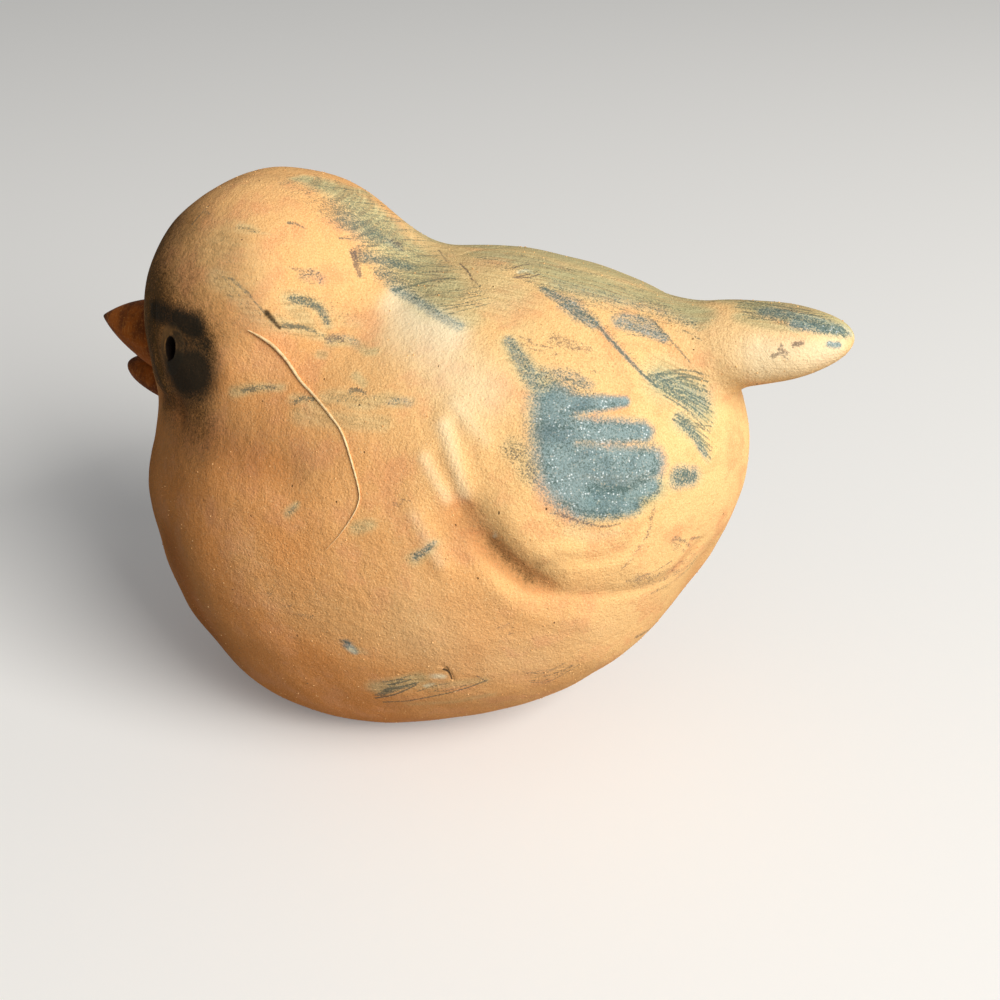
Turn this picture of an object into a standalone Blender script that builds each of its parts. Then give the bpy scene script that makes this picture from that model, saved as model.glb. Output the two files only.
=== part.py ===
"""Terracotta bird figurine.

The body is a hollow clay shell pressed in two halves, left and right, and joined on the
middle plane over a coil of clay. Wings, tail, beak and eyes are clay pieces put on it.
The bird looks along -X, its left side is -Y, and it stands on the ground at Z = 0.
"""

import math

import bmesh
import bpy
import numpy as np
from mathutils import Matrix, Vector

MM = 0.001

# The joint between two pieces that touch, and the wall of the body
JOINT = 0.3 * MM
WALL = 4.5 * MM

# Belly, the lump that the other lumps of the body are placed from
BELLY_LENGTH = 64.4 * MM
BELLY_WIDTH = 65.2 * MM
BELLY_HEIGHT = 70.4 * MM
BELLY_RISE = 40.3 * MM
BELLY_PITCH = math.radians(-8)

# Chest, in front of the belly and cut flat by the ground
CHEST_LENGTH = 72.5 * MM
CHEST_WIDTH = 69.9 * MM
CHEST_HEIGHT = 76.7 * MM
CHEST_FORWARD = 22.0 * MM
CHEST_RISE = 33.7 * MM

# Head, above the chest
HEAD_LENGTH = 43.9 * MM
HEAD_WIDTH = 42.4 * MM
HEAD_HEIGHT = 40.6 * MM
HEAD_FORWARD = 35.8 * MM
HEAD_RISE = 64.7 * MM

# Rump, behind the belly
RUMP_LENGTH = 31.7 * MM
RUMP_WIDTH = 33.7 * MM
RUMP_HEIGHT = 36.7 * MM
RUMP_BACK = 19.0 * MM
RUMP_RISE = 51.2 * MM

# How softly the lumps run into each other, into the flat base and, inside, into the floor
BODY_BLEND = 12.0 * MM
NECK_BLEND = 8.0 * MM
BASE_EDGE = 0.8 * MM
FLOOR_EDGE = 9.0 * MM

# Hole in the base that lets the kiln's heat out of the hollow body
VENT_DIAMETER = 10.0 * MM

# Coil of clay pressed along the joint inside
COIL_DIAMETER = 4.0 * MM

# Wing, a pad of clay on the flank, measured from the belly's centre
WING_LENGTH = 40.0 * MM
WING_HEIGHT = 27.0 * MM
WING_THICKNESS = 2.4 * MM
WING_BACK = 17.0 * MM
WING_RISE = 11.5 * MM
WING_TILT = math.radians(-11)
WING_TAPER = 0.35

# Tail, a short flat cone. It stands over the spot on the rump at an angle above the level.
TAIL_LENGTH = 15.9 * MM
TAIL_ROOT = 12.8 * MM
TAIL_TIP = 7.4 * MM
TAIL_WIDTH = 16.6 * MM
TAIL_PITCH = math.radians(11)
TAIL_SPOT = math.radians(49)
TAIL_STAND = 3.1 * MM

# Beak, a little open: a broad upper half, with its root on the head at a dip under the level,
# and a small lower one, with its root at the upper one's lower edge. Each axis rises by its lift.
BEAK_LENGTH = 13.8 * MM
BEAK_HEIGHT = 14.0 * MM
BEAK_WIDTH = 13.0 * MM
BEAK_TIP = 2.2 * MM
BEAK_DIP = math.radians(25)
BEAK_LIFT = math.radians(12.5)
LOWER_BEAK_LENGTH = 10.2 * MM
LOWER_BEAK_HEIGHT = 7.0 * MM
LOWER_BEAK_WIDTH = 9.0 * MM
LOWER_BEAK_TIP = 4.0 * MM
LOWER_BEAK_LIFT = math.radians(19)

# Outline of both beak halves: how full it is, and where along the length its narrow tip starts
BEAK_FULLNESS = 0.7
BEAK_SHOULDER = 0.7

# Eye, an upright oval pellet with a pierced pupil
EYE_HEIGHT = 9.0 * MM
EYE_WIDTH = 5.4 * MM
EYE_DOME = 0.8 * MM
EYE_SEAT = 1.6 * MM
PUPIL_HEIGHT = 3.6 * MM
PUPIL_FLOOR = 2.2 * MM
PUPIL_DEPTH = 1.5 * MM
EYE_TURN = math.radians(64)
EYE_DIP = math.radians(3)
EYE_LEAN = math.radians(14)

# Fineness of the meshes
BODY_SEGMENTS = 64
BODY_RINGS = 32
WING_SEGMENTS = 28
WING_RINGS = 12
TURNED_STEPS = 24
TIP_POINTS = 5
ROOT_POINTS = 6
EYE_POINTS = 9
COIL_POINTS = 56
HALVINGS = 44
BASE_FLAT = 0.2 * MM
PROBE = 0.01 * MM
WELD = 0.01 * MM

# Places that follow from the sizes, with the belly's centre at X = 0
BELLY = np.array([0.0, 0.0, BELLY_RISE])
CHEST = np.array([-CHEST_FORWARD, 0.0, CHEST_RISE])
HEAD = np.array([-HEAD_FORWARD, 0.0, HEAD_RISE])
RUMP = np.array([RUMP_BACK, 0.0, RUMP_RISE])
CORE = np.array([-CHEST_FORWARD / 2, 0.0, BELLY_RISE])
REACH = BELLY_LENGTH + CHEST_LENGTH + HEAD_LENGTH + RUMP_LENGTH
LEFT = -1
RIGHT = 1
SIDE_NAMES = {LEFT: "left", RIGHT: "right"}

# Colour and roughness of the fired clay, of the painted beak and of the dark eyes
CLAY = (0.73, 0.42, 0.20)
CLAY_ROUGHNESS = 0.85
BEAK = (0.32, 0.11, 0.02)
BEAK_ROUGHNESS = 0.7
EYE = (0.16, 0.10, 0.05)
EYE_ROUGHNESS = 0.8


def lump(points, centre, sizes, pitch=0.0):
    """Distance to an ellipsoid, near enough close to its surface; it is negative inside."""
    x, y, z = (points - centre).T
    cos, sin = math.cos(pitch), math.sin(pitch)
    local = np.stack([cos * x + sin * z, y, cos * z - sin * x], axis=1)
    half = np.array(sizes) / 2
    scaled = np.linalg.norm(local / half, axis=1)
    slope = np.linalg.norm(local / half**2, axis=1)
    return scaled * (scaled - 1) / np.maximum(slope, 1e-9)


def blend(first, second, width):
    """The smaller of two distances, with a soft fillet where they meet."""
    overlap = np.maximum(width - np.abs(first - second), 0) / width
    return np.minimum(first, second) - overlap**2 * width / 4


def clay(points, base_edge=BASE_EDGE):
    """Distance to the outer face of the body, which runs softly into its flat base."""
    shape = lump(points, BELLY, (BELLY_LENGTH, BELLY_WIDTH, BELLY_HEIGHT), BELLY_PITCH)
    chest = lump(points, CHEST, (CHEST_LENGTH, CHEST_WIDTH, CHEST_HEIGHT))
    rump = lump(points, RUMP, (RUMP_LENGTH, RUMP_WIDTH, RUMP_HEIGHT))
    head = lump(points, HEAD, (HEAD_LENGTH, HEAD_WIDTH, HEAD_HEIGHT))
    shape = blend(shape, chest, BODY_BLEND)
    shape = blend(shape, rump, BODY_BLEND)
    shape = blend(shape, head, NECK_BLEND)
    ground = -points[:, 2]
    return -blend(-shape, -ground, base_edge)


def press(start, rays, level=0.0, base_edge=BASE_EDGE):
    """Points on rays from a start inside the body, where the distance to it is the level."""
    rays = rays / np.linalg.norm(rays, axis=1, keepdims=True)
    near = np.zeros(len(rays))
    far = np.full(len(rays), REACH)
    for _ in range(HALVINGS):
        middle = (near + far) / 2
        inside = clay(start + rays * middle[:, None], base_edge) < level
        near = np.where(inside, middle, near)
        far = np.where(inside, far, middle)
    return start + rays * near[:, None]


def outward(points):
    """Unit normals of the body's outer face."""
    steps = np.eye(3) * PROBE
    slope = np.stack([clay(points + step) - clay(points - step) for step in steps], axis=1)
    return slope / np.linalg.norm(slope, axis=1, keepdims=True)


def material(name, colour, roughness):
    """A plain fired clay or painted clay finish."""
    finish = bpy.data.materials.new(name)
    finish.use_nodes = True
    shader = finish.node_tree.nodes["Principled BSDF"]
    shader.inputs["Base Color"].default_value = (*colour, 1.0)
    shader.inputs["Roughness"].default_value = roughness
    shader.inputs["Metallic"].default_value = 0.0
    return finish


def add_object(name, mesh, collection, place=None):
    """An object for a mesh in one of the two collections, under the bird's empty."""
    obj = bpy.data.objects.new(name, mesh)
    collection.objects.link(obj)
    obj.parent = bird
    if place is not None:
        obj.matrix_local = place
    return obj


def add_part(name, mesh, colour, roughness=CLAY_ROUGHNESS, place=None):
    part = add_object(name, mesh, parts, place)
    part.data.materials.append(material(name + "_finish", colour, roughness))
    part.data.shade_smooth()
    return part


def add_cutter(name, mesh, place=None):
    cutter = add_object(name, mesh, cutters, place)
    cutter.hide_render = True
    cutter.display_type = "WIRE"
    return cutter


def cut(part, cutter):
    boolean = part.modifiers.new(cutter.name, "BOOLEAN")
    boolean.operation = "DIFFERENCE"
    boolean.solver = "EXACT"
    boolean.object = cutter


def mesh_from(name, bm):
    mesh = bpy.data.meshes.new(name)
    bm.to_mesh(mesh)
    bm.free()
    return mesh


def sphere(segments, rings):
    """A unit sphere with its poles on Y, and its vertices as an array."""
    bm = bmesh.new()
    turn = Matrix.Rotation(math.pi / 2, 4, "X")
    bmesh.ops.create_uvsphere(bm, u_segments=segments, v_segments=rings, radius=1, matrix=turn)
    return bm, np.array([vertex.co for vertex in bm.verts])


def move_vertices(bm, places):
    for vertex, place in zip(bm.verts, places):
        vertex.co = place


def body_ball(level=0.0, base_edge=BASE_EDGE):
    """A closed ball pressed onto the body at a distance from its outer face, with a flat base."""
    bm, rays = sphere(BODY_SEGMENTS, BODY_RINGS)
    places = press(CORE, rays, level, base_edge)
    places[places[:, 2] < BASE_FLAT - level, 2] = -level
    move_vertices(bm, places)
    return bm


def half_ball(side):
    """The part of the body's ball on one side of the middle joint, closed with a flat face."""
    bm = body_ball()
    everything = bm.verts[:] + bm.edges[:] + bm.faces[:]
    joint = (0, side * JOINT / 2, 0)
    bmesh.ops.bisect_plane(bm, geom=everything, plane_co=joint, plane_no=(0, side, 0), clear_inner=True)
    bmesh.ops.holes_fill(bm, edges=[edge for edge in bm.edges if edge.is_boundary])
    bmesh.ops.recalc_face_normals(bm, faces=bm.faces)
    return mesh_from("body_half", bm)


def cylinder_mesh(name, diameter, length):
    bm = bmesh.new()
    bmesh.ops.create_cone(
        bm, cap_ends=True, segments=TURNED_STEPS, radius1=diameter / 2, radius2=diameter / 2, depth=length
    )
    return mesh_from(name, bm)


def standing_frame(origin, axis, lean=0.0):
    """A place with its Z on an axis and its X as near to upright as it goes, then leant."""
    axis = Vector(axis).normalized()
    across = axis.cross(Vector((0, 0, 1))).normalized()
    up = across.cross(axis)
    turned = Matrix((up, across, axis)).transposed().to_4x4()
    turned = turned @ Matrix.Rotation(lean, 4, "Z")
    return Matrix.Translation(origin) @ turned


def turned_mesh(name, profile, ratio=1.0):
    """A profile of radius and height, from top to bottom, turned about Z and widened along Y."""
    outline = bpy.data.meshes.new(name + "_outline")
    edges = [(i, i + 1) for i in range(len(profile) - 1)]
    outline.from_pydata([(radius, 0, height) for radius, height in profile], edges, [])
    turned = bpy.data.objects.new(name + "_turned", outline)
    bpy.context.scene.collection.objects.link(turned)
    screw = turned.modifiers.new("turn", "SCREW")
    screw.steps = TURNED_STEPS
    screw.render_steps = TURNED_STEPS
    screw.use_merge_vertices = True
    screw.merge_threshold = WELD
    graph = bpy.context.evaluated_depsgraph_get()
    mesh = bpy.data.meshes.new_from_object(turned.evaluated_get(graph))
    bpy.data.objects.remove(turned)
    mesh.transform(Matrix.Diagonal((1, ratio, 1, 1)))
    return mesh


def dome(radius, foot, top, points):
    """The quarter oval from the axis at the top down to the radius at the foot."""
    angles = np.linspace(math.pi / 2, 0, points)
    return [(radius * math.cos(a), foot + (top - foot) * math.sin(a)) for a in angles]


def body_halves():
    """The two half shells, with the vent in the base and a socket for each eye."""
    hollow = add_cutter("hollow", mesh_from("hollow", body_ball(-WALL, FLOOR_EDGE)))
    base = Matrix.Translation(CHEST * (1, 1, 0))
    vent = add_cutter("vent", cylinder_mesh("vent", VENT_DIAMETER, 4 * WALL), base)
    for side in (LEFT, RIGHT):
        half = add_part(f"body_{SIDE_NAMES[side]}_half", half_ball(side), CLAY)
        cut(half, hollow)
        cut(half, vent)
        cut(half, eye_socket(side))


def seam_coil():
    """The coil inside, along the middle joint from one side of the vent to the other."""
    radius = COIL_DIAMETER / 2
    vent = CHEST * (1, 0, 0) - CORE
    clear = math.atan2(VENT_DIAMETER / 2 + COIL_DIAMETER, -vent[2])
    bottom = math.atan2(vent[2], vent[0])
    angles = np.linspace(bottom + clear, bottom + 2 * math.pi - clear, COIL_POINTS)
    rays = np.stack([np.cos(angles), np.zeros(COIL_POINTS), np.sin(angles)], axis=1)
    middle = press(CORE, rays, -(WALL + JOINT + radius), FLOOR_EDGE)
    curve = bpy.data.curves.new("seam_coil", "CURVE")
    curve.dimensions = "3D"
    curve.bevel_depth = radius
    curve.bevel_resolution = 2
    curve.use_fill_caps = True
    spline = curve.splines.new("POLY")
    spline.points.add(COIL_POINTS - 1)
    for point, place in zip(spline.points, middle):
        point.co = (*place, 1)
    coil = add_object("seam_coil", curve, parts)
    curve.materials.append(material("seam_coil_finish", CLAY, CLAY_ROUGHNESS))
    return coil


def wing(side):
    """A tapering pad that lies on the flank and thins to a round edge."""
    bm, places = sphere(WING_SEGMENTS, WING_RINGS)
    along, out, upward = places.T
    spot = np.array([[WING_BACK, 0, BELLY_RISE + WING_RISE]])
    flank = press(spot, np.array([[0, side, 0]], float))[0]
    facing = outward(flank[None])[0]
    back = np.cross(facing, (0, 0, side))
    back /= np.linalg.norm(back)
    up = np.cross(back, facing) * side
    length = along * WING_LENGTH / 2
    height = upward * (1 - WING_TAPER * along) * WING_HEIGHT / 2
    cos, sin = math.cos(WING_TILT), math.sin(WING_TILT)
    rightward = (cos * length - sin * height)[:, None] * back
    rise = (sin * length + cos * height)[:, None] * up
    level = JOINT + WING_THICKNESS * np.maximum(out, 0)
    move_vertices(bm, press(CORE, flank + rightward + rise - CORE, level))
    if side == LEFT:
        bmesh.ops.reverse_faces(bm, faces=bm.faces)
    return add_part("wing_" + SIDE_NAMES[side], mesh_from("wing", bm), CLAY)


def tail(body):
    """A turned cone with a round tip and a long round root, trimmed by the body."""
    ray = np.array([[math.cos(TAIL_SPOT), 0, math.sin(TAIL_SPOT)]])
    root = press(RUMP, ray)[0] + TAIL_STAND * ray[0]
    axis = (math.cos(TAIL_PITCH), 0, math.sin(TAIL_PITCH))
    tip = TAIL_TIP / 2
    profile = dome(tip, TAIL_LENGTH - tip, TAIL_LENGTH, TIP_POINTS)
    profile += reversed(dome(TAIL_ROOT / 2, 0, -TAIL_ROOT, ROOT_POINTS))
    mesh = turned_mesh("tail", profile, TAIL_WIDTH / TAIL_ROOT)
    piece = add_part("tail", mesh, CLAY, place=standing_frame(root, axis))
    cut(piece, body)
    return piece


def beak_profile(length, height, tip, grow=0.0):
    """Half a beak's outline, from its blunt tip back to a round end inside the head."""
    root = height / 2 + grow
    profile = dome(tip / 2 + grow, length - tip / 2, length + grow, TIP_POINTS)
    for share in (BEAK_SHOULDER, BEAK_SHOULDER / 2):
        profile.append((root * (1 - share**2) ** BEAK_FULLNESS, share * length + grow))
    profile += reversed(dome(root, 0, -root, ROOT_POINTS))
    return profile


def beak_mesh(name, length, height, width, tip, grow=0.0):
    return turned_mesh(name, beak_profile(length, height, tip, grow), width / height)


def beak_place(drop, lift):
    """The frame of a beak half: its root a drop under the upper one's, its Z along its axis."""
    upper_root = press(HEAD, np.array([[-math.cos(BEAK_DIP), 0, -math.sin(BEAK_DIP)]]))[0]
    return standing_frame(upper_root - (0, 0, drop), (-math.cos(lift), 0, math.sin(lift)))


def beak(body):
    """Both halves of the beak, trimmed by the head, the lower one also by the upper."""
    sizes = (BEAK_LENGTH, BEAK_HEIGHT, BEAK_WIDTH, BEAK_TIP)
    place = beak_place(0, BEAK_LIFT)
    upper = add_part("beak_upper", beak_mesh("beak_upper", *sizes), BEAK, BEAK_ROUGHNESS, place)
    cut(upper, body)
    lower_sizes = (LOWER_BEAK_LENGTH, LOWER_BEAK_HEIGHT, LOWER_BEAK_WIDTH, LOWER_BEAK_TIP)
    lower_place = beak_place(BEAK_HEIGHT / 2, LOWER_BEAK_LIFT)
    lower_mesh = beak_mesh("beak_lower", *lower_sizes)
    lower = add_part("beak_lower", lower_mesh, BEAK, BEAK_ROUGHNESS, lower_place)
    cut(lower, body)
    cut(lower, add_cutter("beak_room", beak_mesh("beak_room", *sizes, grow=JOINT), place))
    return upper, lower


def eye_place(side):
    """The eye's frame on the side of the head, its Z facing out."""
    flat = math.cos(EYE_DIP)
    ray = np.array([[-flat * math.cos(EYE_TURN), side * flat * math.sin(EYE_TURN), -math.sin(EYE_DIP)]])
    spot = press(HEAD, ray)
    return standing_frame(spot[0], outward(spot)[0], -side * EYE_LEAN)


def eye_socket(side):
    """The oval hole that the pellet is pressed into."""
    bore = cylinder_mesh("eye_socket", EYE_HEIGHT + 2 * JOINT, 2 * (EYE_SEAT + JOINT))
    bore.transform(Matrix.Diagonal((1, (EYE_WIDTH + 2 * JOINT) / (EYE_HEIGHT + 2 * JOINT), 1, 1)))
    return add_cutter("eye_socket_" + SIDE_NAMES[side], bore, eye_place(side))


def eye(side):
    """The pellet, domed and pierced."""
    pupil = PUPIL_HEIGHT / 2
    profile = [(0, EYE_DOME - PUPIL_DEPTH), (PUPIL_FLOOR / 2, EYE_DOME - PUPIL_DEPTH)]
    profile += [point for point in dome(EYE_HEIGHT / 2, 0, EYE_DOME, EYE_POINTS) if point[0] >= pupil]
    profile += [(EYE_HEIGHT / 2, -EYE_SEAT), (0, -EYE_SEAT)]
    mesh = turned_mesh("eye", profile, EYE_WIDTH / EYE_HEIGHT)
    return add_part("eye_" + SIDE_NAMES[side], mesh, EYE, EYE_ROUGHNESS, eye_place(side))


def clear_scene():
    for obj in list(bpy.data.objects):
        bpy.data.objects.remove(obj)


def new_collection(name):
    collection = bpy.data.collections.new(name)
    bpy.context.scene.collection.children.link(collection)
    return collection


def reach_along_x(obj):
    """The lowest and highest X of an object's finished mesh."""
    done = obj.evaluated_get(bpy.context.evaluated_depsgraph_get())
    xs = [(done.matrix_world @ vertex.co).x for vertex in done.to_mesh().vertices]
    return min(xs), max(xs)


clear_scene()
parts = new_collection("terracotta_bird")
cutters = new_collection("cutters")
bird = bpy.data.objects.new("bird", None)
parts.objects.link(bird)

body_halves()
seam_coil()
for side in (LEFT, RIGHT):
    wing(side)
    eye(side)
body_room = add_cutter("body_room", mesh_from("body_room", body_ball(JOINT)))
tail_piece = tail(body_room)
beak_upper, beak_lower = beak(body_room)

bpy.context.view_layer.update()
front = reach_along_x(beak_upper)[0]
rear = reach_along_x(tail_piece)[1]
bird.location.x = -(front + rear) / 2
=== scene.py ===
"""Looks of the terracotta bird figurine: clay skin, brushed paint, beak, eyes, grit and a stuck fibre.

Lengths are in metres. The bird looks along -X, its left side is -Y, and it stands at Z = 0.
A place given in pixels is a place in the photograph, which is 1000 pixels wide and high. It is
cast from the camera onto the clay, so it holds from every side. The side that the photograph
doesn't show mirrors the side that it shows.
"""

import math
from collections import namedtuple

import bmesh
import bpy
import numpy as np
from mathutils import Matrix, Vector


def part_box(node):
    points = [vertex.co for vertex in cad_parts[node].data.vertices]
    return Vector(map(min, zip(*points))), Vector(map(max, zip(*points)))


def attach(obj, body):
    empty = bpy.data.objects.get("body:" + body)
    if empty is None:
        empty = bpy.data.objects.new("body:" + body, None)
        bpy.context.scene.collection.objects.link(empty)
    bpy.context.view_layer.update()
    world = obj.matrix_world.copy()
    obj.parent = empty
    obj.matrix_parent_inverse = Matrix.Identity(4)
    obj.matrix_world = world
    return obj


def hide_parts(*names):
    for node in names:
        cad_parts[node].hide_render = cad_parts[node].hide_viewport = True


bl_info = {
    "name": "Terracotta bird figurine",
    "version": (1, 0, 0),
    "blender": (4, 5, 0),
    "location": "View3D > Sidebar > Bird",
    "description": "Makes the clay skin, brushed paint, beak, eyes, grit and stage of a clay bird",
    "category": "Object",
}

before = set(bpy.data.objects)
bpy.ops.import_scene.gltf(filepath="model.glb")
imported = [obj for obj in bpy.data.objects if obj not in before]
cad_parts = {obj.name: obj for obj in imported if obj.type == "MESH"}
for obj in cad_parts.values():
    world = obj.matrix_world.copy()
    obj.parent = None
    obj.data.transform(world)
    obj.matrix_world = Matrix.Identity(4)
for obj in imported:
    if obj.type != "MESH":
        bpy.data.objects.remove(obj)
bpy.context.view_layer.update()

MM = 0.001
# The photograph's width in pixels, and what one of them spans at the bird
PHOTO_SIZE = 1000
PIXEL = 0.158 * MM
LEFT = -1
RIGHT = 1
SIDE_NAMES = {LEFT: "left", RIGHT: "right"}


def srgb(red, green, blue):
    """A colour as the photograph's 0 to 255 values, made linear."""
    shares = np.array([red, green, blue]) / 255
    return tuple(np.where(shares < 0.04045, shares / 12.92, ((shares + 0.055) / 1.055) ** 2.4))


# Properties

def length(name, description, default, **more):
    """A length in metres."""
    return bpy.props.FloatProperty(name=name, description=description, default=default, unit="LENGTH", **more)


def sizes(name, description, default):
    """Three lengths, along X, Y and Z."""
    return bpy.props.FloatVectorProperty(
        name=name, description=description, default=default, size=3, unit="LENGTH", subtype="XYZ"
    )


def angle(name, description, degrees):
    """An angle, given in degrees."""
    return bpy.props.FloatProperty(
        name=name, description=description, default=math.radians(degrees), subtype="ANGLE"
    )


def number(name, description, default, **more):
    """A plain number."""
    return bpy.props.FloatProperty(name=name, description=description, default=default, **more)


def colour(name, description, *default):
    """A colour, given as the photograph's 0 to 255 values."""
    return bpy.props.FloatVectorProperty(
        name=name, description=description, default=srgb(*default), size=3, subtype="COLOR", min=0, max=1
    )


class BirdForm(bpy.types.PropertyGroup):
    """The lumps of clay that the bird is pressed from, placed from under the belly's centre."""

    belly_size: sizes("Belly", "Length, width and height of the belly", (0.0644, 0.0652, 0.0704))
    belly_place: sizes("Belly centre", "Centre of the belly", (0, 0, 0.0403))
    belly_pitch: angle("Belly pitch", "How far the belly's nose tips up", -8)
    chest_size: sizes("Chest", "Length, width and height of the chest", (0.0725, 0.0699, 0.0767))
    chest_place: sizes("Chest centre", "Centre of the chest", (-0.022, 0, 0.0337))
    head_size: sizes("Head", "Length, width and height of the head", (0.0439, 0.0424, 0.0406))
    head_place: sizes("Head centre", "Centre of the head", (-0.0358, 0, 0.0647))
    rump_size: sizes("Rump", "Length, width and height of the rump", (0.0317, 0.0337, 0.0367))
    rump_place: sizes("Rump centre", "Centre of the rump", (0.019, 0, 0.0512))
    face_size: sizes(
        "Face", "Length, width and height of the fullness behind the beak", (0.0280, 0.0340, 0.0270)
    )
    face_place: sizes("Face centre", "Centre of the fullness behind the beak", (-0.0425, 0, 0.0570))
    face_blend: length("Face blend", "How softly that fullness runs into the head", 0.0055)
    body_blend: length("Body blend", "How softly chest, belly and rump run together", 0.012)
    neck_blend: length("Neck blend", "How softly the head runs into the body", 0.0068)
    base_edge: length("Base edge", "How softly the body runs into its flat base", 0.0022)
    tail_size: sizes("Tail", "Length, width and height of the tail's lump", (0.044, 0.0164, 0.0121))
    tail_place: sizes("Tail centre", "Centre of the tail's lump", (0.0279, 0, 0.0660))
    tail_pitch: angle("Tail pitch", "How far the tail rises", 11.3)
    tail_blend: length("Tail blend", "How softly the tail runs into the rump", 0.0040)
    vent_diameter: length("Vent", "Diameter of the hole in the base", 0.010)
    vent_depth: length("Vent depth", "How far the hole goes in before it is dark", 0.014)
    fineness: length("Fineness", "Spacing of the skin's mesh", 0.0006)
    unevenness: length("Unevenness", "How far the hand-smoothed surface strays", 0.00022)


class BeakForm(bpy.types.PropertyGroup):
    """The two halves of the beak."""

    upper_root: sizes("Upper root", "Middle of the upper half's root", (-0.0455, 0, 0.0552))
    upper_size: sizes("Upper half", "Length, width and height of the upper half", (0.0138, 0.013, 0.014))
    upper_lift: angle("Upper lift", "How far the upper half rises", 12.5)
    lower_root: sizes("Lower root", "Middle of the lower half's root", (-0.0455, 0, 0.0482))
    lower_size: sizes("Lower half", "Length, width and height of the lower half", (0.0102, 0.009, 0.007))
    lower_lift: angle("Lower lift", "How far the lower half rises", 12)


class EyeForm(bpy.types.PropertyGroup):
    """The pierced clay pellet on each side of the head."""

    height: length("Eye height", "Height of the almond", 0.0090)
    width: length("Eye width", "Width of the almond", 0.0060)
    forward: length("Forward", "How far the pellet sits before its solid", 0.0009)
    dome: length("Dome", "How far the pellet stands out of the head", 0.00018)
    seat: length("Seat", "How deep the pellet is pressed in", 0.0022)
    hole_height: length("Hole height", "Height of the pierced hole", 0.0042)
    hole_width: length("Hole width", "Width of the pierced hole", 0.0027)
    hole_depth: length("Hole depth", "Depth of the pierced hole", 0.0020)
    lean: angle("Lean", "How far the almond's foot leans back", 14)


class ClayColours(bpy.types.PropertyGroup):
    """Colours of the fired clay and of the paint brushed on it."""

    orange: colour("Clay", "Fired clay on the breast and belly", 238, 160, 90)
    # Partly the clay's own paler tone, partly painted light: the back, rump and top are coloured paler on the
    # key lamp's side
    cream_and_light: colour("Pale clay", "Paler clay on the back and rump", 253, 207, 141)
    rosy: colour("Rosy clay", "Rosy clay in the mottles", 242, 170, 116)
    olive: colour("Olive wash", "Thin olive wash on crown and mantle", 220, 218, 166)
    slate: colour("Slate paint", "Slate blue paint on the wings", 98, 132, 142)
    pale_slate: colour("Pale slate", "Worn slate paint", 132, 162, 166)
    deep: colour("Deep slate", "Dark slate green in the brush lines", 74, 96, 90)
    umber: colour("Umber paint", "Purple brown smudges", 104, 92, 86)
    soot: colour("Black paint", "Near black paint round the eyes", 36, 33, 25)
    # The brown haze is face paint, and also painted shade under the head and cheek, in the wing's crease and
    # along the breast's left edge
    haze: colour("Brown haze", "Brown haze over the face", 78, 58, 26)
    # Also painted highlights on the ridges before the wing and on the tail, and painted light under the tail
    chalk: colour("Chalk", "Pale chips and bloom", 255, 238, 198)
    beak: colour("Beak paint", "Brown paint on the beak", 178, 96, 24)
    beak_tip: colour("Beak tip", "Dark tip and edges of the beak", 34, 18, 12)
    fibre: colour("Fibre", "The pale fibre", 246, 218, 168)
    grain_shade: colour("Grain shade", "Clay in the hollows between its grains", 164, 96, 44)
    grain_light: colour("Grain light", "Clay on the tops of its grains", 255, 234, 184)
    # Painted shade: the clay in the pressed dents and creases and in the small pits is coloured darker
    dent_shade: colour("Dent shade", "Clay in the pressed dents", 190, 106, 50)
    pit_shade: colour("Pit shade", "Clay in the small pits", 120, 74, 40)
    olive_line: colour("Olive line", "Brush lines in the olive wash", 122, 128, 94)
    glint: colour("Glint", "Pale grains in the slate paint", 226, 236, 236)
    beak_shade: colour("Beak shade", "Darker patches of the beak paint", 96, 46, 12)
    beak_worn: colour("Beak wear", "Worn grains of the beak paint", 204, 132, 62)
    beak_scratch: colour("Beak scratch", "Fine scratches in the beak paint", 206, 134, 60)
    eye_clay: colour("Eye clay", "Clay of the pierced pellets", 176, 128, 76)
    eye_shade: colour("Eye shade", "Darker mottles of the pellets", 140, 104, 62)
    # Painted shade: the inside of the pierced holes is coloured near black
    eye_hole_shade: colour("Eye hole", "Inside of the pierced holes", 22, 13, 8)
    grit: colour("Grit", "Most of the sand grains", 226, 168, 104)
    grit_dark: colour("Dark grit", "The few dark sand grains", 120, 84, 52)
    grit_fleck: colour("Grit fleck", "Flecks on the sand grains", 160, 110, 66)
    fibre_shade: colour("Fibre shade", "Darker lengths of the fibre", 214, 166, 104)


class GritForm(bpy.types.PropertyGroup):
    """Sand grains in the surface of the clay."""

    density: number("Density", "Grains to a square metre", 240000, min=0)
    smallest: length("Smallest", "Radius of the smallest grain", 0.00005)
    largest: length("Largest", "Radius of the largest grain", 0.00015)
    seed: bpy.props.IntProperty(name="Seed", description="Which scatter of grains is used", default=7)


class FibreForm(bpy.types.PropertyGroup):
    """The stray fibre that is stuck to the breast."""

    thickness: length("Thickness", "Diameter at its thick end", 0.00052)
    sides: bpy.props.IntProperty(name="Sides", description="Sides round the fibre", default=10)


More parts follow.
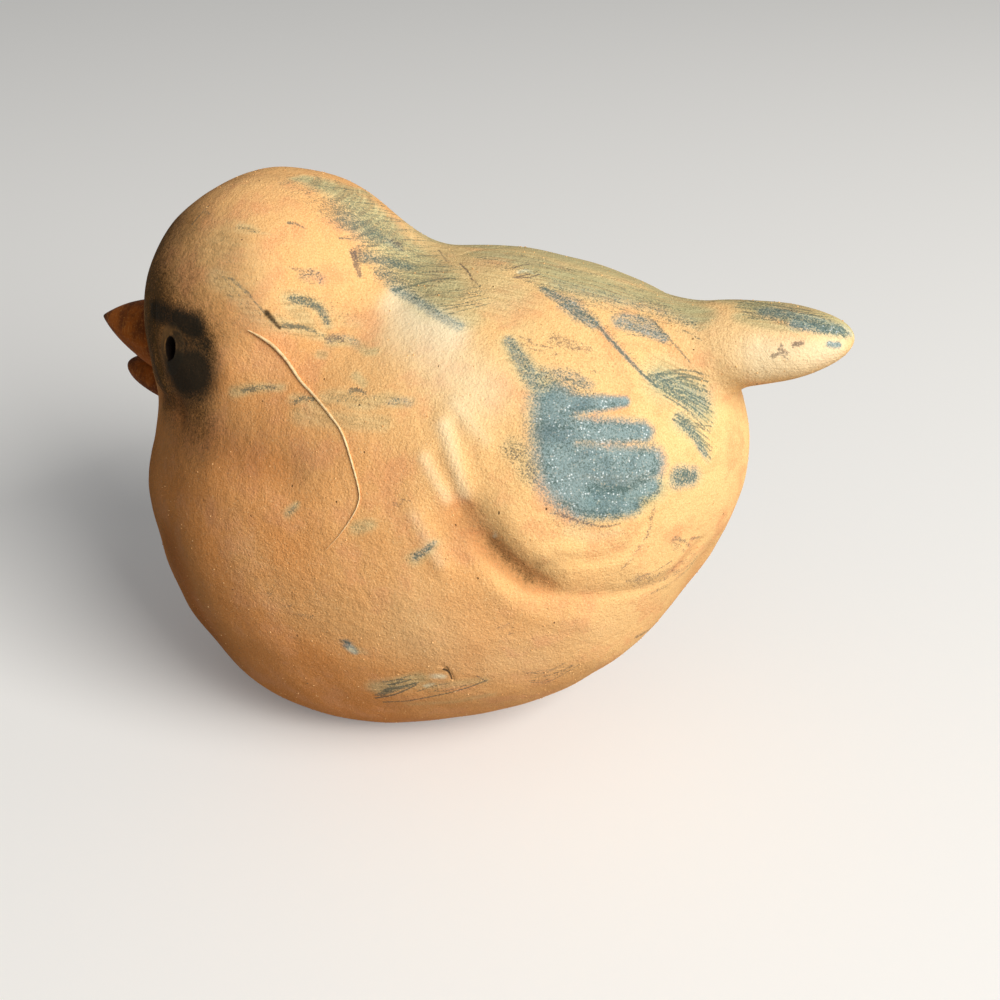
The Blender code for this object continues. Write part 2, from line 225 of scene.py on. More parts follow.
class StageForm(bpy.types.PropertyGroup):
    """The camera, the lamp, the backdrop and the floor."""

    azimuth: angle("Azimuth", "How far the camera stands behind square to the left side", 18)
    elevation: angle("Elevation", "How far the camera looks down", 30)
    view_angle: angle("View angle", "Angle that the photograph takes in", 38)
    distance: length("Distance", "From the camera to the point it looks at", 0.230)
    target: sizes("Target", "The point that the camera looks at", (0.00898, 0, 0.03554))
    floor: colour("Floor", "Colour of the floor", 232, 232, 230)
    floor_bounce: colour("Floor bounce", "Colour that the floor gives back to the object", 146, 142, 138)
    key_place: sizes("Key lamp", "Place of the large soft lamp", (0.90, -0.47, 0.70))
    key_size: length("Key size", "Side of the large soft lamp", 0.75)
    key_power: number("Key power", "Watts of the large soft lamp", 20.4, min=0)
    key_tint: bpy.props.FloatVectorProperty(
        name="Key tint", description="Colour of the large soft lamp's light", default=(1.0, 0.97, 0.93),
        size=3, subtype="COLOR", min=0, max=1,
    )
    fill: number("Fill", "Strength of the light from all round", 0.19, min=0)
    backdrop: number("Backdrop", "Brightness of the plain backdrop", 0.86, min=0)
    floor_glow: number("Floor glow", "How much the floor is lit up for the camera", 0.12, min=0)
    floor_reach: length("Floor reach", "From the floor's middle to its sides", 6)
    floor_gap: length("Floor gap", "How far the floor lies under the base", 0.00003)
    aim_height: length("Aim height", "Height of the point that the lamp faces", 0.04)


FORMS = {
    "bird_form": BirdForm,
    "beak_form": BeakForm,
    "eye_form": EyeForm,
    "clay_colours": ClayColours,
    "grit_form": GritForm,
    "fibre_form": FibreForm,
    "stage_form": StageForm,
}


# Strokes in the photograph's pixels: a brush stroke leaves paint, and a press moves the clay

Stroke = namedtuple("Stroke", "pixels start end amount")


def stroke(*pixels, wide=4.0, end=None, cover=1.0):
    """A stroke through pixels, with its width at its start and at its end."""
    return [Stroke(np.array(pixels, float), wide, wide if end is None else end, cover)]


def hatch(first, last, count, wide=2.4, end=1.6, cover=0.8, wander=2.0):
    """Strokes side by side, from one line of pixels to another, each a little off."""
    first, last = np.array(first, float), np.array(last, float)
    chance = np.random.default_rng(int(first.sum() + last.sum()))
    made = []
    for share in np.linspace(0, 1, count):
        share += chance.normal(0, 0.25 / count)
        drift = chance.normal(0, wander, 2)
        pixels = first + (last - first) * share + drift
        pixels[0] += chance.normal(0, wander, 2)
        pixels[-1] += chance.normal(0, wander, 2)
        made.append(Stroke(pixels, wide * chance.uniform(0.6, 1.3), end, cover * chance.uniform(0.6, 1.1)))
    return made


SLATE = {
    "wing fill": stroke((556, 408), (556, 440), (562, 476), (584, 494), wide=44),
    "wing top lobe": stroke((550, 405), (584, 405), (624, 402), wide=27, end=9),
    "wing second lobe": stroke((556, 430), (600, 432), (642, 432), wide=28, end=18),
    "wing third lobe": stroke((560, 460), (604, 462), (646, 462), wide=42, end=30),
    "wing lower lobe": stroke((572, 488), (606, 490), (646, 484), wide=44, end=20, cover=0.95),
    "wing foot": stroke((578, 502), (604, 504), (628, 502), wide=28, end=20, cover=0.95),
    "wing left edge": stroke((541, 396), (544, 440), (556, 490), wide=17, end=14, cover=0.66),
    "wing shoulder": stroke((509, 342), (522, 362), (540, 390), wide=11, end=20, cover=0.55),
    "wing shoulder, rear": stroke((540, 380), (562, 378), (588, 386), wide=22, end=12, cover=0.46),
    "spot behind the wing": stroke((676, 476), (690, 476), wide=20, end=18, cover=0.62),
    "crown core": stroke((346, 222), (360, 228), (376, 236), wide=22, end=18, cover=0.30),
    "crown foot": stroke((366, 258), (388, 263), (408, 268), wide=12, cover=0.44),
    "nape stroke": stroke(
        (394, 289), (413, 299), (430, 310), (446, 320), (458, 326), wide=10, end=11, cover=0.60,
    ),
    "nape fan": stroke((384, 276), (396, 286), (410, 296), wide=18, end=14, cover=0.36),
    "mantle feather": stroke((544, 290), (560, 300), (580, 316), wide=9, end=18, cover=0.55),
    "mantle feather root": stroke((570, 306), (582, 316), (594, 324), wide=20, end=12, cover=0.66),
    "mantle shaft": stroke((592, 318), (611, 341), (640, 372), (656, 386), wide=6, end=4, cover=0.52),
    "mantle patch": stroke((622, 322), (640, 328), (664, 338), wide=18, end=10, cover=0.66),
    "mantle patch top": stroke((624, 317), (646, 321), (658, 332), wide=12, end=9, cover=0.55),
    "upper fan": stroke((658, 380), (676, 388), (698, 404), wide=18, end=26, cover=0.50),
    "lower fan": stroke((680, 420), (692, 432), (705, 454), wide=14, end=7, cover=0.55),
    "tail top": stroke((766, 312), (790, 316), (822, 323), (846, 332), wide=18, end=14, cover=0.56),
    "tail band": stroke((796, 324), (818, 328), (842, 331), wide=14, end=10, cover=0.74),
    "tail spot": stroke((829, 344), (839, 345), wide=6, end=5, cover=0.9),
    "cheek arc": stroke(
        (293, 299), (305, 302), (318, 307), (324, 315), (327, 323), wide=8, end=5, cover=0.30,
    ),
    "cheek smudge": stroke((303, 275), (314, 274), (322, 280), wide=11, end=10, cover=0.26),
    "cheek smudge low": stroke((332, 339), (346, 338), (356, 342), wide=9, end=8, cover=0.24),
    "crown purple": stroke((388, 242), (398, 248), wide=12, end=9, cover=0.40),
    "belly tick": stroke((415, 557), (424, 551), (435, 542), wide=8, end=4, cover=0.46),
    "belly chalk blue": stroke((348, 644), (354, 650), wide=12, end=9, cover=0.62),
    "throat spot": stroke((392, 403), (401, 400), (410, 404), wide=8, end=6, cover=0.34),
    "mantle haze": stroke((556, 284), (600, 296), (640, 306), (690, 322), wide=18, end=14, cover=0.26),
    "wing joint": stroke((596, 478), (626, 476), (650, 470), wide=16, end=10, cover=0.95),
}

DEEP = {
    "wing lobe two": stroke((552, 427), (590, 426), (636, 427), wide=13, end=8, cover=0.40),
    "wing lobe two, foot": stroke((600, 442), (638, 440), wide=8, end=7, cover=0.34),
    "wing lobe three, foot": stroke((588, 487), (622, 486), (650, 470), wide=10, end=8, cover=0.56),
    "wing lobe three, top": stroke((632, 450), (650, 454), (656, 464), wide=7, cover=0.42),
    "wing foot": stroke((562, 502), (586, 512), (618, 512), wide=11, end=8, cover=0.46),
    "wing lower lobe": stroke((636, 502), (650, 492), (656, 480), wide=9, end=7, cover=0.42),
    "wing left": stroke((541, 400), (542, 440), (550, 480), wide=13, end=12, cover=0.36),
    "wing shoulder": hatch(
        ((508, 344), (520, 364), (536, 390)), ((514, 342), (530, 366), (544, 390)), 4, wide=3, cover=0.50,
    ),
    "wing shoulder, rear": hatch(
        ((540, 378), (566, 371), (598, 375)), ((538, 392), (556, 384), (584, 388)), 5, wide=2.6,
        cover=0.50,
    ),
    "spot behind the wing": stroke((677, 477), (684, 475), (692, 476), wide=18, end=12, cover=0.66),
    "crown core": hatch(
        ((334, 210), (354, 213), (386, 220)), ((346, 240), (368, 242), (394, 246)), 11, wide=2.6,
        cover=0.62,
    ),
    "crown core tooth": stroke((344, 219), (360, 227), (376, 236), wide=32, end=26, cover=0.66),
    "crown speckle": stroke((312, 186), (350, 210), (396, 252), (430, 284), wide=56, end=54, cover=0.38),
    "crown foot tooth": stroke((360, 256), (386, 261), (414, 268), wide=17, end=15, cover=0.68),
    "crown foot": hatch(
        ((356, 250), (384, 254), (412, 256)), ((364, 266), (392, 270), (420, 276)), 5, wide=2.6,
        cover=0.46,
    ),
    "crown lines": hatch(
        ((324, 198), (356, 200), (392, 206)), ((388, 286), (424, 284), (470, 284)), 28, cover=0.62,
    ),
    "crown top lines": hatch(
        ((296, 177), (326, 180), (356, 187)), ((330, 202), (356, 204), (386, 208)), 11, cover=0.58,
    ),
    "nape line": stroke((393, 291), (409, 287), (434, 281), (455, 279), wide=3.4, end=2.0, cover=0.80),
    "nape lines": hatch(
        ((412, 296), (436, 292), (476, 286)), ((440, 316), (462, 312), (490, 306)), 9, wide=2.0,
        cover=0.56,
    ),
    "nape stroke root": stroke((388, 284), (396, 290), (406, 296), wide=10, end=5, cover=0.36),
    "mantle feather": stroke((543, 288), (556, 296), (570, 306), wide=4, end=6, cover=0.64),
    "mantle feather root": stroke((568, 305), (582, 313), (597, 325), wide=14, end=6, cover=0.56),
    "mantle shaft": stroke((590, 316), (611, 341), (640, 372), (657, 387), wide=3.0, end=2.4, cover=0.86),
    "mantle shaft lines": hatch(
        ((590, 310), (622, 346), (654, 380)), ((588, 320), (610, 346), (644, 380)), 4, wide=1.8,
        cover=0.50,
    ),
    "mantle lines": hatch(
        ((478, 258), (530, 256), (600, 274), (660, 296)),
        ((520, 276), (560, 298), (620, 314), (704, 330)), 22, wide=3, end=2.4, cover=0.42,
    ),
    "mantle patch lines": hatch(
        ((616, 314), (642, 318), (660, 328)), ((626, 330), (648, 336), (670, 343)), 7, wide=2.2,
        cover=0.52,
    ),
    "mantle patch edge": stroke((654, 322), (672, 342), (690, 362), wide=2.6, end=1.8, cover=0.74),
    "mantle end strokes": hatch(
        ((680, 320), (690, 323), (702, 328)), ((682, 331), (690, 332), (700, 335)), 4, wide=2.6,
        cover=0.50,
    ),
    "upper fan lines": hatch(
        ((655, 376), (680, 368), (706, 371)), ((662, 394), (686, 410), (712, 432)), 18, cover=0.84,
    ),
    "upper fan root": stroke((655, 379), (672, 390), (688, 402), wide=10, end=6, cover=0.46),
    "lower fan lines": hatch(
        ((675, 416), (692, 420), (712, 425)), ((676, 418), (693, 438), (709, 464)), 10,
    ),
    "lower fan root": stroke((678, 419), (692, 434), (704, 452), wide=9, end=4, cover=0.46),
    "tail band": stroke((764, 313), (800, 322), (842, 331), wide=18, end=13, cover=0.58),
    "tail lines": hatch(
        ((736, 300), (776, 304), (814, 310)), ((752, 319), (800, 327), (848, 334)), 15, wide=2.8,
        cover=0.72,
    ),
    "cheek arc": stroke(
        (293, 299), (305, 301), (317, 306), (324, 314), (327, 322), wide=9, end=6, cover=0.70,
    ),
    "cheek lines": stroke((284, 325), (299, 327), (313, 331), wide=6, end=4, cover=0.66),
    "cheek smudges": hatch(
        ((303, 271), (312, 273), (322, 276)), ((306, 279), (314, 281), (324, 283)), 3, wide=3, cover=0.46,
    ),
    "brow ticks": hatch(
        ((238, 228), (250, 231), (264, 237)), ((284, 224), (290, 226), (296, 229)), 2, wide=3.4,
        cover=0.66,
    ),
    "brow tick, front": stroke((205, 212), (210, 216), (214, 220), wide=4, end=3, cover=0.46),
    "throat line": stroke((244, 391), (258, 388), (276, 388), wide=6, end=4, cover=0.56),
    "throat ticks": stroke((351, 392), (357, 390), (366, 394), wide=6, end=4, cover=0.72),
    "throat hatch": hatch(
        ((318, 392), (344, 394), (384, 396)), ((330, 410), (356, 408), (390, 404)), 6, wide=2, cover=0.30,
    ),
    "belly tick": stroke((416, 556), (424, 551), (435, 543), wide=7, end=4, cover=0.52),
    "belly hatch": hatch(
        ((385, 684), (396, 680), (410, 675)), ((380, 697), (398, 693), (420, 687)), 7, wide=3.4, cover=1.0,
    ),
    "belly arcs": stroke(
        (384, 703), (412, 700), (441, 694), (468, 687), (487, 680), wide=2.8, end=2.0, cover=0.80,
    ),
    "breast tick": stroke((290, 512), (294, 508), (298, 504), wide=5, end=4, cover=0.50),
    "haze tooth": stroke((512, 448), (522, 460), (529, 474), wide=18, cover=0.30),
    "wing lobe three, tip": stroke((640, 470), (654, 462), wide=12, end=8, cover=0.36),
    "wing top lobe, foot": stroke((560, 414), (590, 410), (622, 404), wide=9, end=5, cover=0.36),
    "wing middle": stroke((560, 438), (596, 458), (624, 468), wide=30, end=24, cover=0.24),
    "wing shoulder, speckle": stroke((536, 380), (556, 384), (580, 392), wide=26, end=18, cover=0.36),
    "crown core edge": stroke((338, 208), (362, 220), (392, 240), wide=44, end=36, cover=0.50),
    "crown foot low": stroke((382, 272), (398, 278), (416, 284), wide=20, end=16, cover=0.52),
    "crown dashes": hatch(
        ((348, 193), (354, 194), (360, 196)), ((364, 200), (368, 201), (374, 204)), 3, wide=3, cover=0.66,
    ),
    "mantle feather lines": hatch(
        ((540, 284), (570, 298), (600, 322)), ((550, 296), (572, 312), (596, 332)), 5, wide=2.2,
        cover=0.56,
    ),
    "tail upper edge": stroke((744, 304), (768, 310), (794, 317), wide=12, end=14, cover=0.46),
    "cheek lines, rear": stroke((315, 333), (328, 337), wide=3, end=2, cover=0.44),
    "cheek speckle": stroke((330, 306), (344, 312), (358, 320), wide=22, end=16, cover=0.16),
    "throat ticks, front": stroke((297, 402), (304, 399), (314, 400), wide=6, end=4, cover=0.62),
    "throat ticks, rear": stroke((393, 401), (402, 401), (410, 403), wide=5, end=3, cover=0.34),
    "belly arcs, low": hatch(
        ((420, 690), (436, 686), (452, 682)), ((430, 694), (448, 690), (470, 684)), 3, wide=1.8,
        cover=0.50,
    ),
    "brow lines": hatch(
        ((216, 274), (228, 290), (262, 322)), ((232, 278), (246, 292), (266, 312)), 4, wide=2.0,
        cover=0.52,
    ),
    "forehead lines": hatch(
        ((196, 222), (204, 212), (212, 206)), ((204, 228), (210, 220), (216, 212)), 2, wide=2.0,
        cover=0.56,
    ),
    "brow speckle": stroke((176, 236), (196, 270), (214, 306), wide=50, end=44, cover=0.08),
    "belly hatch, front": stroke((382, 692), (392, 686), (402, 679), wide=5, end=3, cover=0.60),
    "breast smudge": stroke((358, 527), (368, 525), wide=8, end=6, cover=0.22),
    "breast dashes": hatch(
        ((250, 576), (262, 584), (272, 592)), ((284, 604), (300, 612), (318, 618)), 3, cover=0.40,
    ),
    "belly chip top": stroke((342, 640), (349, 642), wide=4, end=3, cover=0.8),
    "nape stroke": stroke((400, 293), (428, 309), (454, 324), wide=6, end=5, cover=0.30),
}

OLIVE = {
    "crown wash": stroke((306, 180), (346, 196), (382, 226), wide=18, end=60, cover=0.80),
    "crown wash low": stroke((380, 228), (410, 258), (444, 292), wide=60, end=56, cover=0.80),
    "crown band": stroke((296, 180), (330, 186), (368, 194), wide=12, end=14, cover=0.66),
    "nape": stroke((410, 286), (440, 296), (480, 304), wide=28, end=26, cover=0.46),
    "mantle wash": stroke((478, 254), (520, 258), (565, 278), wide=26, end=56, cover=0.84),
    "mantle wash rear": stroke((565, 276), (611, 289), (653, 298), (702, 317), wide=58, end=24, cover=0.88),
    "mantle rim": stroke((470, 246), (540, 252), (600, 268), (650, 286), wide=30, end=24, cover=0.80),
    "mantle end": hatch(
        ((664, 300), (690, 312), (706, 326)), ((640, 306), (668, 316), (700, 332)), 6, wide=5, cover=0.7,
    ),
    "shoulder": stroke((476, 286), (500, 300), (520, 330), wide=26, end=24, cover=0.18),
    "wing haze": stroke((528, 366), (533, 400), (535, 440), wide=12, cover=0.30),
    "wing haze low": stroke((512, 448), (522, 458), (528, 474), wide=20, end=18, cover=0.34),
    "wing foot": stroke((596, 500), (630, 500), (656, 486), wide=30, end=20, cover=0.7),
    "wing notch": stroke((600, 418), (640, 418), wide=6, end=5, cover=0.3),
    "upper fan": stroke((664, 380), (688, 392), (706, 414), wide=38, end=26, cover=0.80),
    "lower fan": stroke((682, 422), (698, 436), (708, 458), wide=22, end=10, cover=0.66),
    "tail back": stroke((712, 300), (760, 303), (806, 310), (848, 326), wide=30, end=26, cover=0.74),
    "tail side": stroke((742, 318), (770, 326), (798, 331), wide=16, end=8, cover=0.62),
    "cheek": stroke((294, 306), (302, 316), (308, 326), wide=22, end=16, cover=0.50),
    "cheek arc foot": stroke((330, 342), (350, 342), (368, 352), wide=11, end=8, cover=0.46),
    "throat line": stroke((234, 392), (256, 388), (284, 388), wide=11, end=7, cover=0.46),
    "throat": stroke((314, 404), (338, 397), (362, 405), (388, 399), wide=15, end=13, cover=0.38),
    "cheek low": stroke((324, 312), (340, 318), (358, 324), wide=16, end=12, cover=0.20),
    "smudge left of the belly": stroke((288, 513), (297, 505), wide=9, end=7, cover=0.5),
    "belly": stroke((380, 688), (398, 684), (420, 678), wide=24, end=18, cover=0.56),
    "crown speckle": hatch(
        ((240, 222), (252, 226), (268, 232)), ((240, 232), (254, 236), (272, 240)), 3, wide=7, cover=0.40,
    ),
    "temple": stroke((226, 240), (246, 270), (262, 310), wide=50, end=40, cover=0.14),
    "mantle crest": stroke(
        (440, 238), (474, 244), (520, 247), (560, 256), (600, 267), (650, 284), (692, 298), wide=70,
        end=60, cover=0.86,
    ),
    "wing shoulder": stroke((509, 344), (524, 366), (542, 388), wide=16, end=26, cover=0.56),
    "spot behind the wing": stroke((672, 477), (684, 476), (696, 477), wide=20, end=16, cover=0.50),
    "cheek spots": hatch(
        ((308, 353), (311, 354), (314, 355)), ((364, 353), (366, 354), (369, 355)), 2, wide=9, end=8,
        cover=0.46,
    ),
    "cheek spot low": stroke((356, 376), (360, 380), (364, 384), wide=9, end=7, cover=0.46),
    "throat, front": stroke((294, 400), (305, 400), (316, 402), wide=11, end=8, cover=0.40),
    "throat, rear": stroke((392, 400), (402, 403), (412, 401), wide=12, end=8, cover=0.36),
    "throat, low": stroke((300, 414), (340, 420), (384, 424), wide=18, end=14, cover=0.34),
    "belly, rear": stroke((420, 686), (450, 684), (484, 680), wide=16, end=10, cover=0.30),
    "belly, low": stroke((410, 704), (450, 702), (490, 694), wide=12, end=10, cover=0.20),
    "belly chip": stroke((354, 648), (366, 652), wide=10, end=6, cover=0.30),
    "brow lines": stroke((218, 276), (240, 296), (262, 320), wide=22, end=16, cover=0.26),
    "breast smudge": stroke((356, 528), (364, 526), (372, 524), wide=12, end=10, cover=0.46),
    "breast veil": stroke((250, 560), (290, 600), (330, 620), wide=50, end=60, cover=0.14),
    "belly tick": stroke((414, 559), (424, 552), (436, 543), wide=14, end=10, cover=0.4),
    "tail rim": stroke((716, 298), (760, 301), (802, 308), (836, 320), wide=22, end=14, cover=0.80),
    "cheek arc": stroke((288, 299), (305, 301), (319, 308), (328, 324), wide=16, end=12, cover=0.50),
    "cheek lines": stroke((276, 322), (299, 328), (322, 336), wide=16, end=10, cover=0.46),
    "tail band": stroke((750, 306), (790, 316), (842, 330), wide=26, end=16, cover=0.84),
    "neck": stroke((430, 240), (462, 262), (504, 296), wide=60, end=56, cover=0.44),
    "nape edge": stroke((400, 280), (436, 300), (470, 318), wide=26, cover=0.5),
}

UMBER = {
    "crown tick": stroke((353, 254), (356, 264), (360, 276), wide=7, end=4.6, cover=0.80),
    "cheek smudge": stroke((330, 339), (336, 338), (342, 340), wide=9, end=6, cover=0.58),
    "cheek smudge high": stroke((304, 275), (312, 273), (321, 277), wide=9, end=6, cover=0.40),
    "cheek line": stroke((290, 268), (302, 271), wide=3, end=2, cover=0.5),
    "wing shoulder smudge": hatch(
        ((518, 336), (534, 342), (552, 346)), ((522, 342), (540, 350), (560, 354)), 3, cover=0.50,
    ),
    "mantle smudge": stroke((556, 340), (570, 346), (588, 350), wide=12, end=8, cover=0.44),
    "flank scribbles": hatch(
        ((630, 582), (652, 580), (676, 572)), ((634, 572), (656, 568), (672, 560)), 5, wide=3, cover=0.62,
    ),
    "flank arc": stroke((652, 592), (668, 584), (690, 570), (700, 556), wide=4, end=3, cover=0.5),
    "flank pits": hatch(
        ((670, 543), (676, 543), (681, 546)), ((688, 554), (694, 557), (698, 560)), 3, wide=7, cover=0.46,
    ),
    "flank bloom": hatch(
        ((628, 574), (650, 570), (676, 560)), ((640, 586), (664, 582), (700, 560)), 5, wide=8, cover=0.36,
    ),
    "belly scribbles": hatch(
        ((524, 672), (540, 670), (560, 662)), ((530, 690), (552, 684), (584, 664)), 8, wide=2.0,
        cover=0.56,
    ),
    "belly mark": stroke((636, 636), (650, 630), wide=6, end=4, cover=0.6),
    "wing arc": stroke((650, 508), (646, 530), (636, 546), (618, 566), wide=3.4, end=2.4, cover=0.50),
    "wing foot line": stroke((556, 512), (576, 519), (598, 524), (616, 522), wide=3.0, end=2.0, cover=0.66),
    "tail marks": hatch(
        ((774, 353), (780, 351), (787, 354)), ((779, 347), (785, 350), (791, 353)), 3, wide=3.6,
        cover=0.90,
    ),
    "neck crack": stroke((460, 264), (466, 270), (471, 277), wide=2.0, end=1.4, cover=0.95),
    "neck crack end": stroke((439, 251), (447, 262), wide=2, end=1.6, cover=0.7),
    "neck line": stroke((447, 245), (458, 262), (474, 286), wide=1.8, end=1.4, cover=0.22),
    "chip edge": hatch(
        ((515, 272), (521, 270), (527, 269)), ((522, 278), (530, 277), (537, 274)), 3, wide=2.6, cover=1.0,
    ),
    "low scribbles": hatch(
        ((502, 626), (510, 625), (518, 622)), ((506, 634), (514, 633), (524, 630)), 4, wide=2.0,
        cover=0.46,
    ),
    "crown blob": stroke((394, 242), (400, 248), wide=11, end=9, cover=0.46),
    "neck crack low": stroke((471, 279), (475, 282), (478, 286), wide=1.8, end=1.2, cover=0.8),
    "breast scribbles": hatch(
        ((396, 504), (402, 501), (408, 502)), ((398, 508), (404, 506), (408, 503)), 2, wide=1.8, cover=0.6,
    ),
    "belly corner": stroke((477, 676), (487, 682), wide=2, end=1.6, cover=0.7),
    "wing foot speckle": stroke((560, 520), (590, 530), (620, 536), wide=26, end=20, cover=0.16),
    "back speckle": stroke((540, 350), (580, 360), (620, 366), wide=26, end=20, cover=0.12),
    "beside the wing": stroke((512, 450), (521, 461), (528, 474), wide=20, end=18, cover=0.26),
    "tail marks, rear": stroke((794, 345), (798, 344), (802, 343), wide=5, end=3.4, cover=0.90),
    "flank dots": hatch(
        ((672, 541), (679, 543)), ((699, 530), (705, 531)), 4, wide=5, end=3, cover=0.62, wander=3,
    ),
}

SOOT = {
    "blob over the eye": stroke((178, 319), (187, 325), (194, 327), wide=26, end=32, cover=0.96),
    "blob over the eye, front": stroke((152, 311), (164, 314), (177, 319), wide=23, end=25, cover=0.80),
    "blob under the eye": stroke((182, 372), (195, 371), wide=60, end=58),
    "blob under the eye, front": stroke((168, 374), (174, 380), wide=14, end=22, cover=0.70),
    "blob under the eye, top": stroke((186, 350), (202, 353), wide=18, cover=0.62),
    "line before the eye": stroke(
        (150, 306), (151, 334), (154, 362), (162, 388), wide=16, end=15, cover=0.50,
    ),
    "between the blobs": stroke((186, 338), (194, 343), (204, 344), wide=22, end=24, cover=0.74),
    "cheek mark": stroke((267, 313), (272, 319), (280, 328), wide=6.0, end=3.2, cover=0.84),
    # Painted shade in the belly's chip and in two small pits, in the black paint's colour
    "chip shade": stroke((444, 669), (449, 672), (452, 679), wide=3.0, end=1.4, cover=0.90),
    "pit high": stroke((499, 511.5), (499, 512.5), wide=1.8, cover=0.9),
    "pit low": stroke((545, 506.5), (545, 507.5), wide=1.6, cover=0.9),
    "chip shade, high": stroke((447, 666), (449, 670), wide=2.0, end=1.8, cover=0.70),
    "beside the hole": stroke((178, 337), (184, 346), (190, 352), wide=20, end=22, cover=0.80),
}

# Brown haze paint on the face, and painted shade in the same colour under the head, in the wing's crease and
# along the breast's left edge
HAZE_AND_SHADE = {
    "brow, edge": stroke((147, 236), (147, 268), (148, 304), wide=52, end=50, cover=0.62),
    "brow, front": stroke((157, 230), (157, 268), (158, 304), wide=54, end=50, cover=0.46),
    "brow": stroke((174, 236), (182, 272), (190, 306), wide=56, end=52, cover=0.16),
    "temple": stroke((198, 262), (214, 294), (224, 326), wide=54, end=46, cover=0.22),
    "temple, rear": stroke((228, 250), (242, 286), (250, 318), wide=50, end=40, cover=0.26),
    "forehead": stroke((158, 212), (188, 228), wide=44, cover=0.26),
    "forehead, high": stroke((196, 196), (224, 226), wide=56, end=50, cover=0.16),
    "before the eye, edge": stroke((147, 300), (148, 340), (157, 384), wide=44, end=34, cover=0.80),
    "before the eye": stroke((153, 300), (154, 340), (162, 384), wide=40, end=34, cover=0.76),
    "behind the eye": stroke((204, 334), (210, 352), wide=28, end=24, cover=0.50),
    "round the eye": stroke((176, 312), (192, 346), (190, 376), wide=60, end=46, cover=0.40),
    # Painted shadow under the head: the throat and under the cheek
    "throat": stroke((162, 400), (178, 408), (198, 412), wide=40, end=44, cover=0.38),
    "throat, rear": stroke((206, 428), (250, 444), (300, 462), wide=80, end=70, cover=0.24),
    # Painted shade in the wing's crease and in the crease below the wing patch
    "wing crease": stroke((474, 524), (498, 554), (532, 582), wide=44, end=28, cover=0.24),
    "wing crease, core": stroke((494, 548), (510, 566), (528, 581), wide=15, end=12, cover=0.26),
    "wing crease, rear": stroke((490, 516), (510, 542), (540, 566), wide=50, end=36, cover=0.12),
    "wing crease, tail": stroke(
        (530, 585), (570, 593), (620, 591), (664, 578), (702, 544), wide=12, end=9, cover=0.22,
    ),
    "inner crease": stroke((538, 566), (570, 560), (606, 556), (634, 540), wide=11, end=7, cover=0.16),
    # Painted shade under the chin and along the breast's shaded left edge
    "chin shade": stroke((168, 424), (200, 438), wide=70, end=66, cover=0.18),
    "breast edge": stroke((150, 450), (158, 520), (178, 590), (216, 652), wide=70, end=76, cover=0.34),
    # Brown haze paint on the face again
    "brow, round the front": stroke((146, 244), (146, 300), (150, 372), wide=110, end=90, cover=0.16),
    # Painted shade along the breast's left edge, further in
    "breast edge, inner": stroke((170, 470), (182, 530), (202, 592), (236, 652), wide=96, cover=0.22),
}

# Pale chips and chalky bloom, and painted highlights on the ridges before the wing and painted light on the
# tail
CHALK_AND_HIGHLIGHTS = {
    "mantle chip": stroke((519, 273), (526, 271), (533, 274), wide=5, end=4),
    "belly chip": stroke((351, 648), (355, 651), wide=8, end=6, cover=0.95),
    "breast chip": stroke((434, 676), (443, 676), wide=7, end=6, cover=0.86),
    "wing tick": stroke((493, 531), (494, 538), wide=3, end=2),
    "tail tip": stroke((844, 327), (851, 333), wide=8, end=7, cover=0.85),
    "tail side": stroke((762, 352), (800, 352), (836, 346), wide=40, end=30, cover=0.54),
    "nape pale stroke": stroke((392, 304), (418, 320), (450, 338), wide=26, end=30, cover=0.50),
    "shoulder bloom": stroke((404, 330), (436, 354), (476, 390), wide=60, end=70, cover=0.46),
    # Painted highlight along the top of the pressed front ridge
    "front ridge": stroke((425, 458), (436, 480), (446, 498), wide=13, end=11, cover=0.38),
    "breast speck": stroke((293, 508), (295, 509), wide=3, cover=0.8),
    # Painted highlights along the tops of the pressed ridges
    "second ridge": stroke((444, 426), (454, 458), (464, 494), wide=14, end=13, cover=0.42),
    "low ridge": stroke((414, 514), (427, 540), (440, 562), wide=13, end=11, cover=0.26),
    "third ridge": stroke((456, 404), (470, 424), (486, 442), wide=13, end=11, cover=0.22),
    "under the wing patch": stroke((566, 530), (590, 534), (616, 528), wide=14, end=10, cover=0.22),
    "breast chip, front": stroke((426, 686), (432, 684), wide=5, end=4, cover=0.80),
    # Painted light on the tail's shaded underside, and a painted highlight on the tail
    "tail under": stroke((764, 374), (796, 370), (832, 358), wide=26, end=20, cover=0.28),
    "tail gleam": stroke((806, 316), (824, 322), (838, 328), wide=5, end=4, cover=0.60),
    "nape stroke": stroke((400, 293), (426, 309), (456, 327), wide=20, cover=0.66),
    "belly bloom": stroke((420, 610), (510, 645), (600, 630), wide=110, end=90, cover=0.14),
    "low bloom": stroke((420, 650), (470, 670), (530, 670), wide=70, end=60, cover=0.10),
    "tail root bloom": stroke((712, 330), (720, 352), (724, 380), wide=64, end=56, cover=0.24),
    "under the eye": stroke((228, 348), (250, 352), (280, 372), wide=40, cover=0.10),
}

BARE = {
    "strip beside the beak": stroke((141, 316), (143, 346), (150, 376), wide=6, cover=0.75),
}

